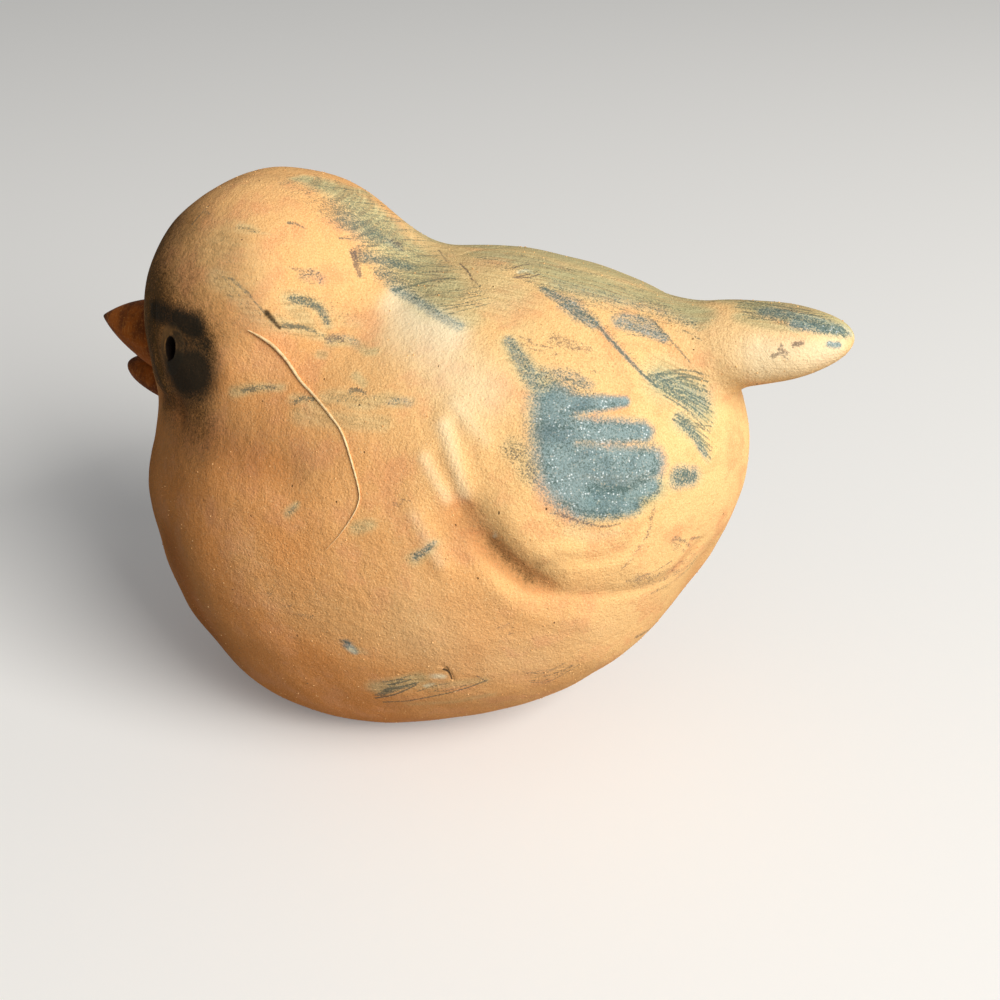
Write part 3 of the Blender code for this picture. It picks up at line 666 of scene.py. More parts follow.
RELIEF = {
    "wing pad": stroke((548, 470), (590, 480), (634, 488), wide=120, end=96, cover=1.25),
    "wing foot roll": stroke((506, 520), (536, 556), (580, 566), (628, 560), wide=44, end=34, cover=0.60),
    "wing crease": stroke((466, 512), (484, 538), (510, 563), (540, 584), wide=46, end=34, cover=-1.05),
    "wing crease core": stroke((488, 543), (505, 562), (522, 577), wide=22, end=18, cover=-0.50),
    "wing crease tail": stroke(
        (530, 586), (570, 593), (620, 591), (664, 577), (702, 542), wide=18, end=13, cover=-0.34,
    ),
    "belly roll under the wing": stroke((492, 590), (526, 612), (580, 618), wide=36, end=30, cover=0.30),
    "inner crease": stroke(
        (536, 566), (566, 558), (600, 556), (628, 544), (646, 518), wide=12, end=9, cover=-0.22,
    ),
    "inner ridge": stroke((560, 546), (590, 546), (616, 538), (634, 520), wide=12, end=9, cover=0.20),
    "front ridge": stroke((423, 456), (435, 480), (448, 502), wide=14, end=13, cover=0.20),
    "front groove": stroke((437, 462), (449, 486), (462, 508), wide=15, end=17, cover=-0.18),
    "second ridge": stroke((443, 422), (454, 458), (467, 496), wide=15, cover=0.28),
    "second groove": stroke((455, 426), (466, 450), (480, 480), wide=15, end=16, cover=-0.18),
    "valley": stroke((494, 430), (498, 466), (506, 506), wide=44, end=40, cover=-0.22),
    "neck crease": stroke((446, 244), (458, 262), (473, 285), wide=9, end=7, cover=-0.08),
    "beak rim": stroke((146, 296), (149, 330), (156, 366), (164, 392), wide=10, cover=0.20),
    "line before the eye": stroke((153, 300), (154, 334), (162, 374), wide=7, cover=-0.22),
    "brow": stroke((176, 318), (190, 322), (202, 326), wide=26, end=22, cover=0.22),
    "chin notch": stroke((157, 395), (165, 402), (176, 410), wide=20, end=24, cover=-0.80),
    "breast crack": stroke((441, 665), (450, 672), (454, 681), wide=4, end=3, cover=-0.12),
    "mantle chip": stroke((518, 273), (534, 272), wide=6, end=5, cover=-0.16),
    "tail groove": stroke((762, 340), (800, 336), (836, 340), wide=9, end=7, cover=-0.14),
    "thumb print": stroke((300, 300), (330, 312), wide=44, end=40, cover=-0.16),
    "nape fill": stroke((394, 212), (412, 226), (430, 238), wide=40, end=36, cover=1.15),
    "crown trim": stroke((166, 222), (200, 190), (250, 172), (300, 168), wide=60, cover=-0.42),
    "breast fill": stroke((156, 430), (153, 470), (156, 505), wide=54, cover=0.55),
    "low breast trim": stroke((168, 550), (184, 596), (210, 640), wide=76, cover=-0.80),
    "flank trim": stroke((706, 560), (660, 630), (606, 670), wide=64, end=60, cover=-0.50),
    "third ridge": stroke((455, 403), (470, 424), (487, 443), wide=17, end=16, cover=0.17),
    "low ridge": stroke((413, 510), (427, 540), (441, 566), wide=20, end=18, cover=0.20),
    "low groove": stroke((434, 516), (446, 540), (458, 562), wide=24, end=20, cover=-0.13),
    "crease bank": stroke((468, 542), (480, 564), (500, 590), wide=19, end=17, cover=0.18),
    "under the eye": stroke((185, 368), (187, 374), wide=40, cover=0.40),
    "throat valley": stroke((178, 430), (222, 452), (280, 470), wide=70, end=56, cover=-0.50),
}

FIBRE_LINE = (
    (249, 330), (260, 336), (272, 344), (282, 354), (290, 364), (302, 382), (315, 396), (333, 418),
    (343, 433), (351, 456), (360, 490), (359, 504), (352, 518), (340, 535), (327, 549),
)


MISTS = ("haze", "chalk")
PAINTS = {
    "haze": HAZE_AND_SHADE, "olive": OLIVE, "slate": SLATE, "deep": DEEP, "umber": UMBER, "soot": SOOT, "chalk": CHALK_AND_HIGHLIGHTS,
}
FAMILIES = {**PAINTS, "bare": BARE, "relief": RELIEF}


def through(pixels, step=6.0):
    """Points close together on a smooth line through pixels."""
    if len(pixels) == 1:
        return pixels
    ends = np.concatenate([[2 * pixels[0] - pixels[1]], pixels, [2 * pixels[-1] - pixels[-2]]])
    line = []
    for before, here, there, after in zip(ends, ends[1:], ends[2:], ends[3:]):
        count = max(2, math.ceil(np.linalg.norm(there - here) / step))
        t = (np.arange(count) / count)[:, None]
        bend = 2 * before - 5 * here + 4 * there - after
        curl = 3 * (here - there) + after - before
        line.append(here + 0.5 * t * (there - before + t * (bend + t * curl)))
    return np.concatenate([*line, pixels[-1:]])


# Form

# The distance's slope is taken over PROBE; a ray starts at CAST_FROM of the camera's distance
PROBE = 0.01 * MM
LEAST_SLOPE = 0.3
CAST_FROM = 0.6
CAST_ROUNDS = 90
CAST_SHARE = 0.8
SHORT_STEP = 0.002 * MM
LONG_STEP = 4 * MM


class PhotoView:
    """The photograph's camera, which turns pixels into rays."""

    def __init__(self, stage):
        turn, rise = stage.azimuth, stage.elevation
        level = math.cos(rise)
        self.back = np.array([math.sin(turn) * level, -math.cos(turn) * level, math.sin(rise)])
        self.right = np.array([math.cos(turn), math.sin(turn), 0])
        self.up = np.cross(self.back, self.right)
        self.distance = stage.distance
        self.place = np.array(stage.target) + self.back * stage.distance
        self.spread = math.tan(stage.view_angle / 2)

    def rays(self, pixels):
        """Unit rays from the camera through pixels."""
        across = (pixels[:, :1] / (PHOTO_SIZE / 2) - 1) * self.spread
        upward = (1 - pixels[:, 1:] / (PHOTO_SIZE / 2)) * self.spread
        rays = across * self.right + upward * self.up - self.back
        return rays / np.linalg.norm(rays, axis=1, keepdims=True)


def lump(points, centre, size, pitch=0.0):
    """Distance to an ellipsoid, near enough close to its surface; it is negative inside."""
    x, y, z = (points - centre).T
    cos, sin = math.cos(pitch), math.sin(pitch)
    local = np.stack([cos * x + sin * z, y, cos * z - sin * x], axis=1)
    half = np.array(size) / 2
    scaled = np.linalg.norm(local / half, axis=1)
    slope = np.linalg.norm(local / half**2, axis=1)
    return scaled * (scaled - 1) / np.maximum(slope, 1e-9)


def blend(first, second, width):
    """The smaller of two distances, with a soft fillet where they meet."""
    overlap = np.maximum(width - np.abs(first - second), 0) / width
    return np.minimum(first, second) - overlap**2 * width / 4


class BirdShape:
    """The bird's clay as a distance that is negative inside, in the frame of the CAD."""

    def __init__(self, form):
        self.form = form
        front = form.chest_place[0] - form.chest_size[0] / 2
        self.shift = np.array([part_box("body_left_half")[0].x - front, 0, 0])
        self.belly, self.chest, self.head, self.face, self.rump, self.tail = (
            np.array(place) + self.shift
            for place in (
                form.belly_place, form.chest_place, form.head_place, form.face_place, form.rump_place,
                form.tail_place,
            )
        )
        self.core = (self.belly + self.chest) / 2
        self.core[2] = self.belly[2]

    def body(self, points):
        """Distance to the body without its tail, base and vent."""
        form = self.form
        shape = lump(points, self.belly, form.belly_size, form.belly_pitch)
        shape = blend(shape, lump(points, self.chest, form.chest_size), form.body_blend)
        shape = blend(shape, lump(points, self.rump, form.rump_size), form.body_blend)
        head = lump(points, self.head, form.head_size)
        head = blend(head, lump(points, self.face, form.face_size), form.face_blend)
        return blend(shape, head, form.neck_blend)

    def distance(self, points):
        """Distance to the whole bird, with its tail, flat base and vent."""
        form = self.form
        tail = lump(points, self.tail, form.tail_size, form.tail_pitch)
        shape = blend(self.body(points), tail, form.tail_blend)
        shape = -blend(-shape, points[:, 2], form.base_edge)
        beside = np.hypot(points[:, 0] - self.chest[0], points[:, 1]) - form.vent_diameter / 2
        vent = np.maximum(beside, points[:, 2] - form.vent_depth)
        return -blend(-shape, vent, form.base_edge / 2)

    def outward(self, points):
        """Unit normals of the surface near points, and the distance's slope there."""
        steps = np.eye(3) * PROBE
        slope = [self.distance(points + step) - self.distance(points - step) for step in steps]
        slope = np.stack(slope, axis=1) / (2 * PROBE)
        steep = np.linalg.norm(slope, axis=1, keepdims=True)
        return slope / np.maximum(steep, 1e-9), steep[:, 0]

    def settle(self, points, rounds=4):
        """Points moved onto the surface along its slope."""
        for _ in range(rounds):
            normals, steep = self.outward(points)
            points = points - normals * (self.distance(points) / np.maximum(steep, LEAST_SLOPE))[:, None]
        return points

    def cast(self, view, pixels):
        """Where the photograph's pixels lie on the clay, or next to its outline."""
        rays = view.rays(np.array(pixels, float))
        reach = np.full(len(rays), view.distance * CAST_FROM)
        best = np.full(len(rays), np.inf)
        nearest = reach.copy()
        for _ in range(CAST_ROUNDS):
            gap = self.distance(view.place + rays * reach[:, None])
            closer = gap < best
            best = np.where(closer, gap, best)
            nearest = np.where(closer, reach, nearest)
            reach = reach + np.clip(gap * CAST_SHARE, SHORT_STEP, LONG_STEP)
        return self.settle(view.place + rays * nearest[:, None])


def closeness(points, line, radii):
    """For each point, its least distance to a line, in the line's own radii."""
    nearest = np.full(len(points), np.inf)
    if len(line) == 1:
        line, radii = np.repeat(line, 2, axis=0), np.repeat(radii, 2)
    for start, end, thick, thin in zip(line, line[1:], radii, radii[1:]):
        leg = end - start
        share = np.clip((points - start) @ leg / max(leg @ leg, 1e-18), 0, 1)
        away = np.linalg.norm(points - start - share[:, None] * leg, axis=1)
        nearest = np.minimum(nearest, away / (thick + (thin - thick) * share))
    return nearest


def laid_families(bird, view):
    """Every family of strokes cast onto the clay."""
    return {name: laid(family, bird, view) for name, family in FAMILIES.items()}


def laid(family, bird, view):
    """The strokes of a family cast onto the clay: each one's line, radii and amount."""
    strokes = [one for group in family.values() for one in group]
    pixels = [through(one.pixels) for one in strokes]
    places = bird.cast(view, np.concatenate(pixels))
    lines = np.split(places, np.cumsum([len(line) for line in pixels])[:-1])
    return [
        (line, np.linspace(one.start, one.end, len(line)) / 2 * PIXEL, one.amount)
        for one, line in zip(strokes, lines)
    ]


def reached(points, lines, reach):
    """For each stroke that reaches some points: which, how close it is in its own radii, and its amount."""
    for line, radii, amount in lines:
        spare = reach * radii.max()
        low, high = line.min(axis=0) - spare, line.max(axis=0) + spare
        some = np.flatnonzero(np.all((points > low) & (points < high), axis=1))
        if len(some):
            yield some, closeness(points[some], line, radii), amount


PAINT_REACH = 1.5
MIST_REACH = 2.2
MIST_FALL = 0.8
PRESS_REACH = 2.4


def painted(points, lines):
    """How much paint the strokes leave at each point: half of it at a stroke's edge, none past its reach."""
    paint = np.zeros(len(points))
    for some, close, cover in reached(points, lines, PAINT_REACH):
        paint[some] = np.maximum(paint[some], cover * np.clip(PAINT_REACH - close, 0, 1))
    return paint


def misted(points, lines):
    """How much sprayed paint lies at each point: strokes thin out softly and lie over each other."""
    clear = np.ones(len(points))
    for some, close, cover in reached(points, lines, MIST_REACH):
        clear[some] *= 1 - cover * np.exp(-MIST_FALL * close**2)
    return 1 - clear


def pressed(points, lines):
    """How far the presses move each point outwards."""
    height = np.zeros(len(points))
    for some, close, amount in reached(points, lines, PRESS_REACH):
        height[some] += amount * MM * np.exp(-(close**2))
    return height


MIRROR = (1, -1, 1)
STRAY = 0.9 * MM


def on_left(points):
    """Points on the left side as they are, and those on the right side mirrored onto it."""
    return np.where(points[:, 1:2] > 0, points * MIRROR, points)


def mirrored(points):
    """The twin of each point on the other side, a little astray so that no side is a stamp of the other."""
    x, y, z = points.T
    stray = STRAY * np.minimum(np.abs(y) / (8 * MM), 1)
    dx = stray * np.sin(z / (7 * MM) + 1.3) + stray * np.sin(y / (5 * MM))
    dz = stray * np.sin(x / (8 * MM) + 0.4)
    return np.stack([x + dx, -y, z + dz], axis=1)


HIDE_FROM = 0.05
HIDE_STEEP = 4


def hidden(points, normals, view):
    """How surely the camera doesn't see a point on the far side, from 0 to 1."""
    toward = view.place - points
    toward /= np.linalg.norm(toward, axis=1, keepdims=True)
    away = np.clip(HIDE_FROM - (normals * toward).sum(axis=1) * HIDE_STEEP, 0, 1)
    return np.where(points[:, 1] > 0, away, 0)


WAVES = (26, 17, 11, 7.5)
WAVE_WAYS = 3


def uneven(points, amount):
    """Slow waves in the surface, as hands leave in clay: each length, in millimetres, runs a few ways."""
    chance = np.random.default_rng(3)
    height = np.zeros(len(points))
    for wave in WAVES:
        for _ in range(WAVE_WAYS):
            way = chance.normal(size=3)
            way /= np.linalg.norm(way)
            phase = chance.uniform(0, 2 * math.pi)
            folded = points * (1, 0, 1) @ way + np.abs(points[:, 1]) * way[1]
            rise = np.cos(folded * 2 * math.pi / (wave * MM) + phase) * wave / WAVES[0]
            height += rise * amount / WAVE_WAYS
    return height


# Mesh helpers

def mesh_of(name, bm):
    """The mesh of a bmesh, which is freed."""
    mesh = bpy.data.meshes.new(name)
    bm.to_mesh(mesh)
    bm.free()
    return mesh


def places_of(mesh):
    """The places of a mesh's points, one row for each."""
    places = np.empty(len(mesh.vertices) * 3, np.float32)
    mesh.vertices.foreach_get("co", places)
    return places.reshape(-1, 3).astype(float)


def put_places(mesh, places):
    """Moves a mesh's points."""
    mesh.vertices.foreach_set("co", places.astype(np.float32).ravel())
    mesh.update()


def put_values(mesh, name, values):
    """Keeps one value for each point on a mesh."""
    attribute = mesh.attributes.new(name, "FLOAT", "POINT")
    attribute.data.foreach_set("value", values.astype(np.float32))


def new_object(name, data):
    """An object of the scene."""
    made = bpy.data.objects.new(name, data)
    bpy.context.scene.collection.objects.link(made)
    return made


def evaluated_mesh(obj):
    """A plain mesh of an object as its modifiers leave it."""
    graph = bpy.context.evaluated_depsgraph_get()
    return bpy.data.meshes.new_from_object(obj.evaluated_get(graph))


def piece(name, mesh, material, slot, *nodes):
    """A finished piece: it takes a finish, rides on the one body and stands for CAD nodes."""
    mesh.materials.clear()
    mesh.materials.append(material)
    made = new_object(name, mesh)
    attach(made, "root")
    if nodes:
        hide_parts(*nodes)
    return made


# Node trees

class Value:
    """A socket that can be used in Python expressions."""

    def __init__(self, tree, socket):
        self.tree = tree
        self.socket = socket

    def math(self, operation, *others):
        """A Math node of this value and others."""
        values = dict(enumerate((self, *others)))
        return self.tree.node("ShaderNodeMath", {"operation": operation}, values)

    def __add__(self, other):
        return self.math("ADD", other)

    def __sub__(self, other):
        return self.math("SUBTRACT", other)

    def __rsub__(self, other):
        return self.tree.node("ShaderNodeMath", {"operation": "SUBTRACT"}, {0: other, 1: self})

    def __mul__(self, other):
        return self.math("MULTIPLY", other)

    def __truediv__(self, other):
        return self.math("DIVIDE", other)

    def __pow__(self, other):
        return self.math("POWER", other)

    def __gt__(self, other):
        return self.math("GREATER_THAN", other)

    __radd__ = __add__
    __rmul__ = __mul__


class Tree:
    """A node tree that is written as expressions."""

    def __init__(self, tree):
        self.tree = tree

    def node(self, kind, settings=None, values=None, output=0):
        """A node of any kind: its settings come first, then the values or links of its sockets."""
        made = self.tree.nodes.new(kind)
        for name, setting in (settings or {}).items():
            setattr(made, name, setting)
        for key, value in (values or {}).items():
            self.feed(made.inputs[key], value)
        return Value(self, made.outputs[output]) if len(made.outputs) else made

    def outputs(self, kind, values=None):
        """All the outputs of a node of any kind, by their names."""
        made = self.node(kind, values=values).socket.node
        return {socket.name: Value(self, socket) for socket in made.outputs}

    def feed(self, socket, value):
        """Links a wrapped socket to a socket, or sets a plain value on it."""
        if isinstance(value, Value):
            self.tree.links.new(value.socket, socket)
        elif socket.type == "RGBA":
            socket.default_value = (*value, 1.0)
        else:
            socket.default_value = value

    def ramp(self, value, low, high, start=0.0, stop=1.0):
        """A smooth change from start to stop as a value goes from low to high."""
        ends = {"Value": value, "From Min": low, "From Max": high, "To Min": start, "To Max": stop}
        return self.node("ShaderNodeMapRange", {"interpolation_type": "SMOOTHSTEP"}, ends)


class Finish(Tree):
    """A procedural material in Object coordinates."""

    def __init__(self, name, roughness, gloss=0.5):
        self.material = bpy.data.materials.new(name)
        self.material.use_nodes = True
        super().__init__(self.material.node_tree)
        self.shader = self.tree.nodes["Principled BSDF"]
        self.set(Roughness=roughness, Specular_IOR_Level=gloss)
        self.place = self.node("ShaderNodeTexCoord", output="Object")

    def set(self, **values):
        """Feeds the shader's sockets by their names."""
        for name, value in values.items():
            self.feed(self.shader.inputs[name.replace("_", " ")], value)

    def xyz(self):
        """Object coordinates, one by one."""
        return list(self.outputs("ShaderNodeSeparateXYZ", {0: self.place}).values())

    def given(self, name):
        """A value kept on the mesh."""
        return self.node("ShaderNodeAttribute", {"attribute_name": name}, output="Fac")

    def scaled(self, x, y, z):
        """Object coordinates in units of the given lengths."""
        units = (1 / x, 1 / y, 1 / z)
        return self.node("ShaderNodeVectorMath", {"operation": "MULTIPLY"}, {0: self.place, 1: units})

    def noise(self, vector, size=1.0, detail=2.0, roughness=0.5):
        """Cloudy noise from 0 to 1, whose largest clouds are as long as the size."""
        values = {"Vector": vector, "Scale": 1 / size, "Detail": detail, "Roughness": roughness}
        return self.node("ShaderNodeTexNoise", values=values)

    def spots(self, vector, size):
        """Distance to the nearest of scattered points, in units of the size."""
        return self.node("ShaderNodeTexVoronoi", values={"Vector": vector, "Scale": 1 / size})

    def mix(self, factor, first, second):
        """The first colour where the factor is 0, and the second where it is 1."""
        # The node's numbers, vectors and colours share their names, so its colours go by place
        values = {0: factor, 6: first, 7: second}
        return self.node("ShaderNodeMix", {"data_type": "RGBA"}, values, output=2)

    def done(self, shown, height, grain, hollow, top):
        """The material with a colour, a height in millimetres, and the roughness of its hollows and tops."""
        bump = self.node("ShaderNodeBump", values={"Height": height, "Distance": MM, "Strength": 1.0})
        self.set(Base_Color=shown, Roughness=self.ramp(grain, 0.3, 0.7, hollow, top), Normal=bump)
        return self.material


def sandy(finish, coarse=1.0):
    """Height of the sandy surface in millimetres, its fine grain and its pits from 0 to 1."""
    grain = finish.noise(finish.place, 0.34 * MM, 3, 0.6)
    lumps = finish.noise(finish.place, 1.3 * MM, 3, 0.55)
    swell = finish.noise(finish.place, 4.2 * MM, 2)
    pit = finish.ramp(finish.spots(finish.place, 2.3 * MM), 0.03, 0.09)
    keep = finish.noise(finish.place, 3.1 * MM, 1) > 0.56
    pits = (1 - pit) * keep
    height = grain * 0.15 * coarse + lumps * 0.17 * coarse + swell * 0.24 - pits * 0.16
    return height, grain, pits


STREAK_WIDTH = 0.42 * MM
BACK_AXIS = 40 * MM
BACK_RADIUS = 34 * MM


def streaks(finish):
    """Streaks of a dry brush: level on the head, and along the back from the neck to the tail."""
    x, y, z = finish.xyz()
    level = finish.noise(finish.scaled(6 * MM, 6 * MM, STREAK_WIDTH), detail=3, roughness=0.6)
    around = y.math("ARCTAN2", z - BACK_AXIS) * (BACK_RADIUS / STREAK_WIDTH)
    flow = finish.node("ShaderNodeCombineXYZ", values={0: x / (7 * MM), 1: around, 2: 0.0})
    flow = finish.noise(flow, detail=3, roughness=0.6)
    rear = finish.ramp(x, -12 * MM, 2 * MM)
    return level * (1 - rear) + flow * rear


def bare_clay(finish, colours, grain, fine, patchy):
    """Mottled clay, paler to the rear and top partly as painted light, with the grain, painted shade in the
    dents, and chalky bloom and painted highlights on it.
    """
    x, _, z = finish.xyz()
    broad = finish.noise(finish.place, 21 * MM, 3)
    # Paler towards the rear and top: partly the clay's own tone, partly painted light from the key lamp's
    # side
    toward_lit_rear_and_top = x * 0.9 + z * 0.8 + (broad - 0.5) * 70 * MM + (patchy - 0.5) * 30 * MM
    pale = finish.ramp(toward_lit_rear_and_top, -6 * MM, 78 * MM)
    clay = finish.mix(pale, colours.orange, colours.cream_and_light)
    clay = finish.mix(finish.ramp(patchy, 0.46, 0.68, 0, 0.62), clay, colours.rosy)
    clay = finish.mix(finish.ramp(fine, 0.34, 0.56, 0.30, 0), clay, colours.grain_shade)
    clay = finish.mix(finish.ramp(fine, 0.58, 0.74, 0, 0.45), clay, colours.grain_light)
    # Painted shade in the pressed dents and creases
    clay = finish.mix(finish.ramp(finish.given("dent"), 0.1, 1.0, 0, 0.40), clay, colours.dent_shade)
    # The chalk attribute brings chalky bloom and chips, and also painted highlights on the ridges and painted
    # light under the tail
    bloom = finish.given("chalk")
    bloom_and_highlight_share = finish.ramp(bloom + (grain - 0.5) * 0.5 * bloom, 0.0, 0.9, 0, 0.9)
    return finish.mix(bloom_and_highlight_share, clay, colours.chalk)


def clay_finish(colours):
    """Sandy fired clay with dry-brushed paint, painted shade and painted highlights, whose places are kept on
    the mesh.
    """
    finish = Finish("fired_clay", 0.86, gloss=0.12)
    height, grain, pits = sandy(finish)
    patchy = finish.noise(finish.place, 6 * MM, 4, 0.6)
    fine = finish.noise(finish.place, 0.22 * MM, 2, 0.7)
    streak = streaks(finish)
    clay = bare_clay(finish, colours, grain, fine, patchy)
    grains = (grain - 0.5) * 1.1 + (fine - 0.5) * 2.0
    dry = grains + (finish.noise(finish.place, 0.8 * MM, 3, 0.6) - 0.5) * 0.9 + 0.5
    lined = grains * 0.7 + (streak - 0.5) * 2.0 + 0.5

    def caught(name, tooth, softness=0.36):
        """The share that a paint covers where a dry brush catches only the higher grains."""
        amount = finish.given(name)
        return finish.ramp(amount - tooth, -softness, softness) * finish.ramp(amount, 0.0, 0.25)

    # Brown haze paint, and painted shade in the same colour under the head, in the wing's crease and along
    # the breast's edge
    haze = finish.given("haze")
    haze_and_shade_share = finish.ramp(haze + (dry - 0.5) * haze * 1.1, 0.0, 0.94)
    shown = finish.mix(haze_and_shade_share * 0.94, clay, colours.haze)
    olive = finish.given("olive")
    shown = finish.mix(olive * finish.ramp(streak, 0.34, 0.60, 0.34, 0.86), shown, colours.olive)
    shown = finish.mix(caught("olive", lined) * 0.36, shown, colours.olive_line)
    slate = finish.mix(finish.ramp(patchy, 0.38, 0.62), colours.slate, colours.pale_slate)
    slate = finish.mix(finish.ramp(grains, -0.30, 0.10, 0.60, 0), slate, colours.deep)
    shown = finish.mix(finish.given("slate") * 0.42 + caught("slate", dry) * 0.52, shown, slate)
    shown = finish.mix(caught("deep", lined * 0.5 + dry * 0.5) * 0.70, shown, colours.deep)
    cluster = finish.ramp(finish.noise(finish.place, 1.7 * MM, 2), 0.44, 0.60)
    specks = finish.ramp(finish.spots(finish.place, 0.46 * MM), 0.16, 0.34, 1.0, 0.0) * cluster
    specks = specks * finish.ramp(finish.given("slate"), 0.5, 0.9)
    shown = finish.mix(specks * 0.85, shown, colours.glint)
    smudge = finish.given("umber") * 0.16 + caught("umber", dry) * 0.62
    shown = finish.mix(smudge, shown, colours.umber)
    soot = finish.ramp(finish.given("soot") + grains * 0.26, 0.04, 0.98)
    shown = finish.mix(soot * 0.97, shown, colours.soot)
    shown = finish.mix(finish.ramp(finish.given("chalk"), 0.7, 1.0) * 0.8, shown, colours.chalk)
    # Painted shade in the small pits
    shown = finish.mix(pits * 0.5, shown, colours.pit_shade)
    return finish.done(shown, height, grain, 0.95, 0.82)


def beak_finish(colours):
    """Brown paint with a dark tip and edges, finely scratched."""
    finish = Finish("painted_beak", 0.6, gloss=0.2)
    height, grain, _ = sandy(finish, 0.7)
    scratch = finish.noise(finish.scaled(0.3 * MM, 2.0 * MM, 3.0 * MM), detail=3, roughness=0.6)
    broad = finish.noise(finish.place, 3.5 * MM, 3)
    shown = finish.mix(finish.ramp(broad, 0.38, 0.60, 0, 0.8), colours.beak, colours.beak_shade)
    shown = finish.mix(finish.ramp(grain, 0.54, 0.66, 0, 0.5), shown, colours.beak_worn)
    shown = finish.mix(finish.ramp(scratch, 0.58, 0.70, 0, 0.5), shown, colours.beak_scratch)
    shown = finish.mix(finish.ramp(scratch, 0.28, 0.38, 0.5, 0), shown, colours.beak_tip)
    dark = finish.ramp(finish.given("tip") + (grain - 0.5) * 0.6 + (broad - 0.5) * 0.5, 0.25, 0.85)
    shown = finish.mix(dark * 0.94, shown, colours.beak_tip)
    return finish.done(shown, height * 0.7 + scratch * 0.05, grain, 0.80, 0.62)


def eye_finish(colours):
    """Tan clay under the brown and black paint of the face, with its hole painted near black as shade."""
    finish = Finish("pierced_eye", 0.85, gloss=0.12)
    height, grain, _ = sandy(finish, 0.8)
    broad = finish.noise(finish.place, 1.6 * MM, 3)
    shown = finish.mix(finish.ramp(broad, 0.40, 0.66), colours.eye_clay, colours.eye_shade)
    shown = finish.mix(finish.given("haze") * 0.9, shown, colours.haze)
    soot = finish.ramp(finish.given("soot") + (grain - 0.5) * 0.5, 0.04, 0.98)
    shown = finish.mix(soot * 0.97, shown, colours.soot)
    # Painted shade: the hole's floor, its wall and its lip are coloured darker, the floor near black
    dark = finish.ramp(finish.given("tip") + (grain - 0.5) * 0.35, 0.3, 0.7)
    shown = finish.mix(dark, shown, colours.eye_hole_shade)
    return finish.done(shown, height * 0.7, grain, 0.9, 0.78)


def grit_finish(colours):
    """Sand grains, pale to dark."""
    finish = Finish("sand_grain", 0.8)
    tone = finish.given("tone")
    shown = finish.mix(finish.ramp(tone, 0.0, 0.9), colours.grit, colours.cream_and_light)
    shown = finish.mix(finish.ramp(tone, 0.955, 0.97), shown, colours.grit_dark)
    speck = finish.noise(finish.place, 0.1 * MM, 2)
    shown = finish.mix(finish.ramp(speck, 0.4, 0.7, 0, 0.3), shown, colours.grit_fleck)
    return finish.done(shown, speck * 0.03, speck, 0.85, 0.6)


def fibre_finish(colours):
    """A dry pale bristle with fine lines along it."""
    finish = Finish("dry_bristle", 0.7)
    speck = finish.noise(finish.place, 0.5 * MM, 3)
    fine = finish.noise(finish.place, 0.12 * MM, 2)
    shown = finish.mix(finish.ramp(speck, 0.35, 0.7, 0, 0.7), colours.fibre, colours.fibre_shade)
    return finish.done(shown, fine * 0.03, fine, 0.8, 0.55)


# Clay skin

SHRINK_FROM = 75 * MM
SHRINK_ROUNDS = 70
SHRINK_SHARE = 0.7


def rough_bird(bird):
    """Low meshes of the body, with its vent, and of the tail, in one bmesh."""
    form = bird.form
    bm = bmesh.new()
    bmesh.ops.create_icosphere(bm, subdivisions=6, radius=1)
    rays = np.array([vertex.co for vertex in bm.verts])
    reach = np.full(len(rays), SHRINK_FROM)
    for _ in range(SHRINK_ROUNDS):
        places = bird.core + rays * reach[:, None]
        reach = reach - SHRINK_SHARE * np.maximum(bird.body(places), -places[:, 2])
    places = bird.core + rays * reach[:, None]
    for vertex, place in zip(bm.verts, places):
        vertex.co = place
    ball = new_object("rough_ball", mesh_of("rough_ball", bm))
    bm = bmesh.new()
    hole = Matrix.Translation((bird.chest[0], 0, 0))
    bmesh.ops.create_cone(
        bm, cap_ends=True, segments=48, radius1=form.vent_diameter / 2, radius2=form.vent_diameter / 2,
        depth=2 * form.vent_depth, matrix=hole,
    )
    vent = new_object("rough_vent", mesh_of("rough_vent", bm))
    cut = ball.modifiers.new("vent", "BOOLEAN")
    cut.object = vent
    bm = bmesh.new()
    bm.from_mesh(evaluated_mesh(ball))
    for helper in (ball, vent):
        bpy.data.objects.remove(helper)
    place = Matrix.Translation(bird.tail) @ Matrix.Rotation(-form.tail_pitch, 4, "Y")
    place = place @ Matrix.Diagonal((*form.tail_size, 1))
    bmesh.ops.create_icosphere(bm, subdivisions=5, radius=0.5, matrix=place)
    return mesh_of("rough_bird", bm)


def even_skin(bird):
    """The whole skin as an even mesh on the bird's surface."""
    rough = new_object("rough_bird", rough_bird(bird))
    remesh = rough.modifiers.new("even", "REMESH")
    remesh.mode = "VOXEL"
    remesh.voxel_size = bird.form.fineness
    mesh = evaluated_mesh(rough)
    bpy.data.objects.remove(rough)
    put_places(mesh, bird.settle(places_of(mesh), rounds=5))
    return mesh


# Strokes of these families that cover more than FAINT get a finer mesh, and THIN ones a finer one still,
# wherever they leave a TRACE of paint
CRISP = ("slate", "deep", "umber", "soot", "bare")
FAINT = 0.5
THIN = 4.2 / 2 * PIXEL
TRACE = 0.02


def refine(bm, lines):
    """Splits the faces under fine brushwork, where the even mesh is too wide for it."""
    bm.verts.ensure_lookup_table()
    places = np.array([vertex.co for vertex in bm.verts])
    wanted = painted(places, lines)
    wanted = np.maximum(wanted, painted(places * MIRROR, lines)) > TRACE
    faces = [face for face in bm.faces if any(wanted[vertex.index] for vertex in face.verts)]
    edges = {edge for face in faces for edge in face.edges}
    bmesh.ops.subdivide_edges(bm, edges=list(edges), cuts=1, use_grid_fill=True)
    many_sided = [face for face in bm.faces if len(face.verts) > 4]
    bmesh.ops.triangulate(bm, faces=many_sided)


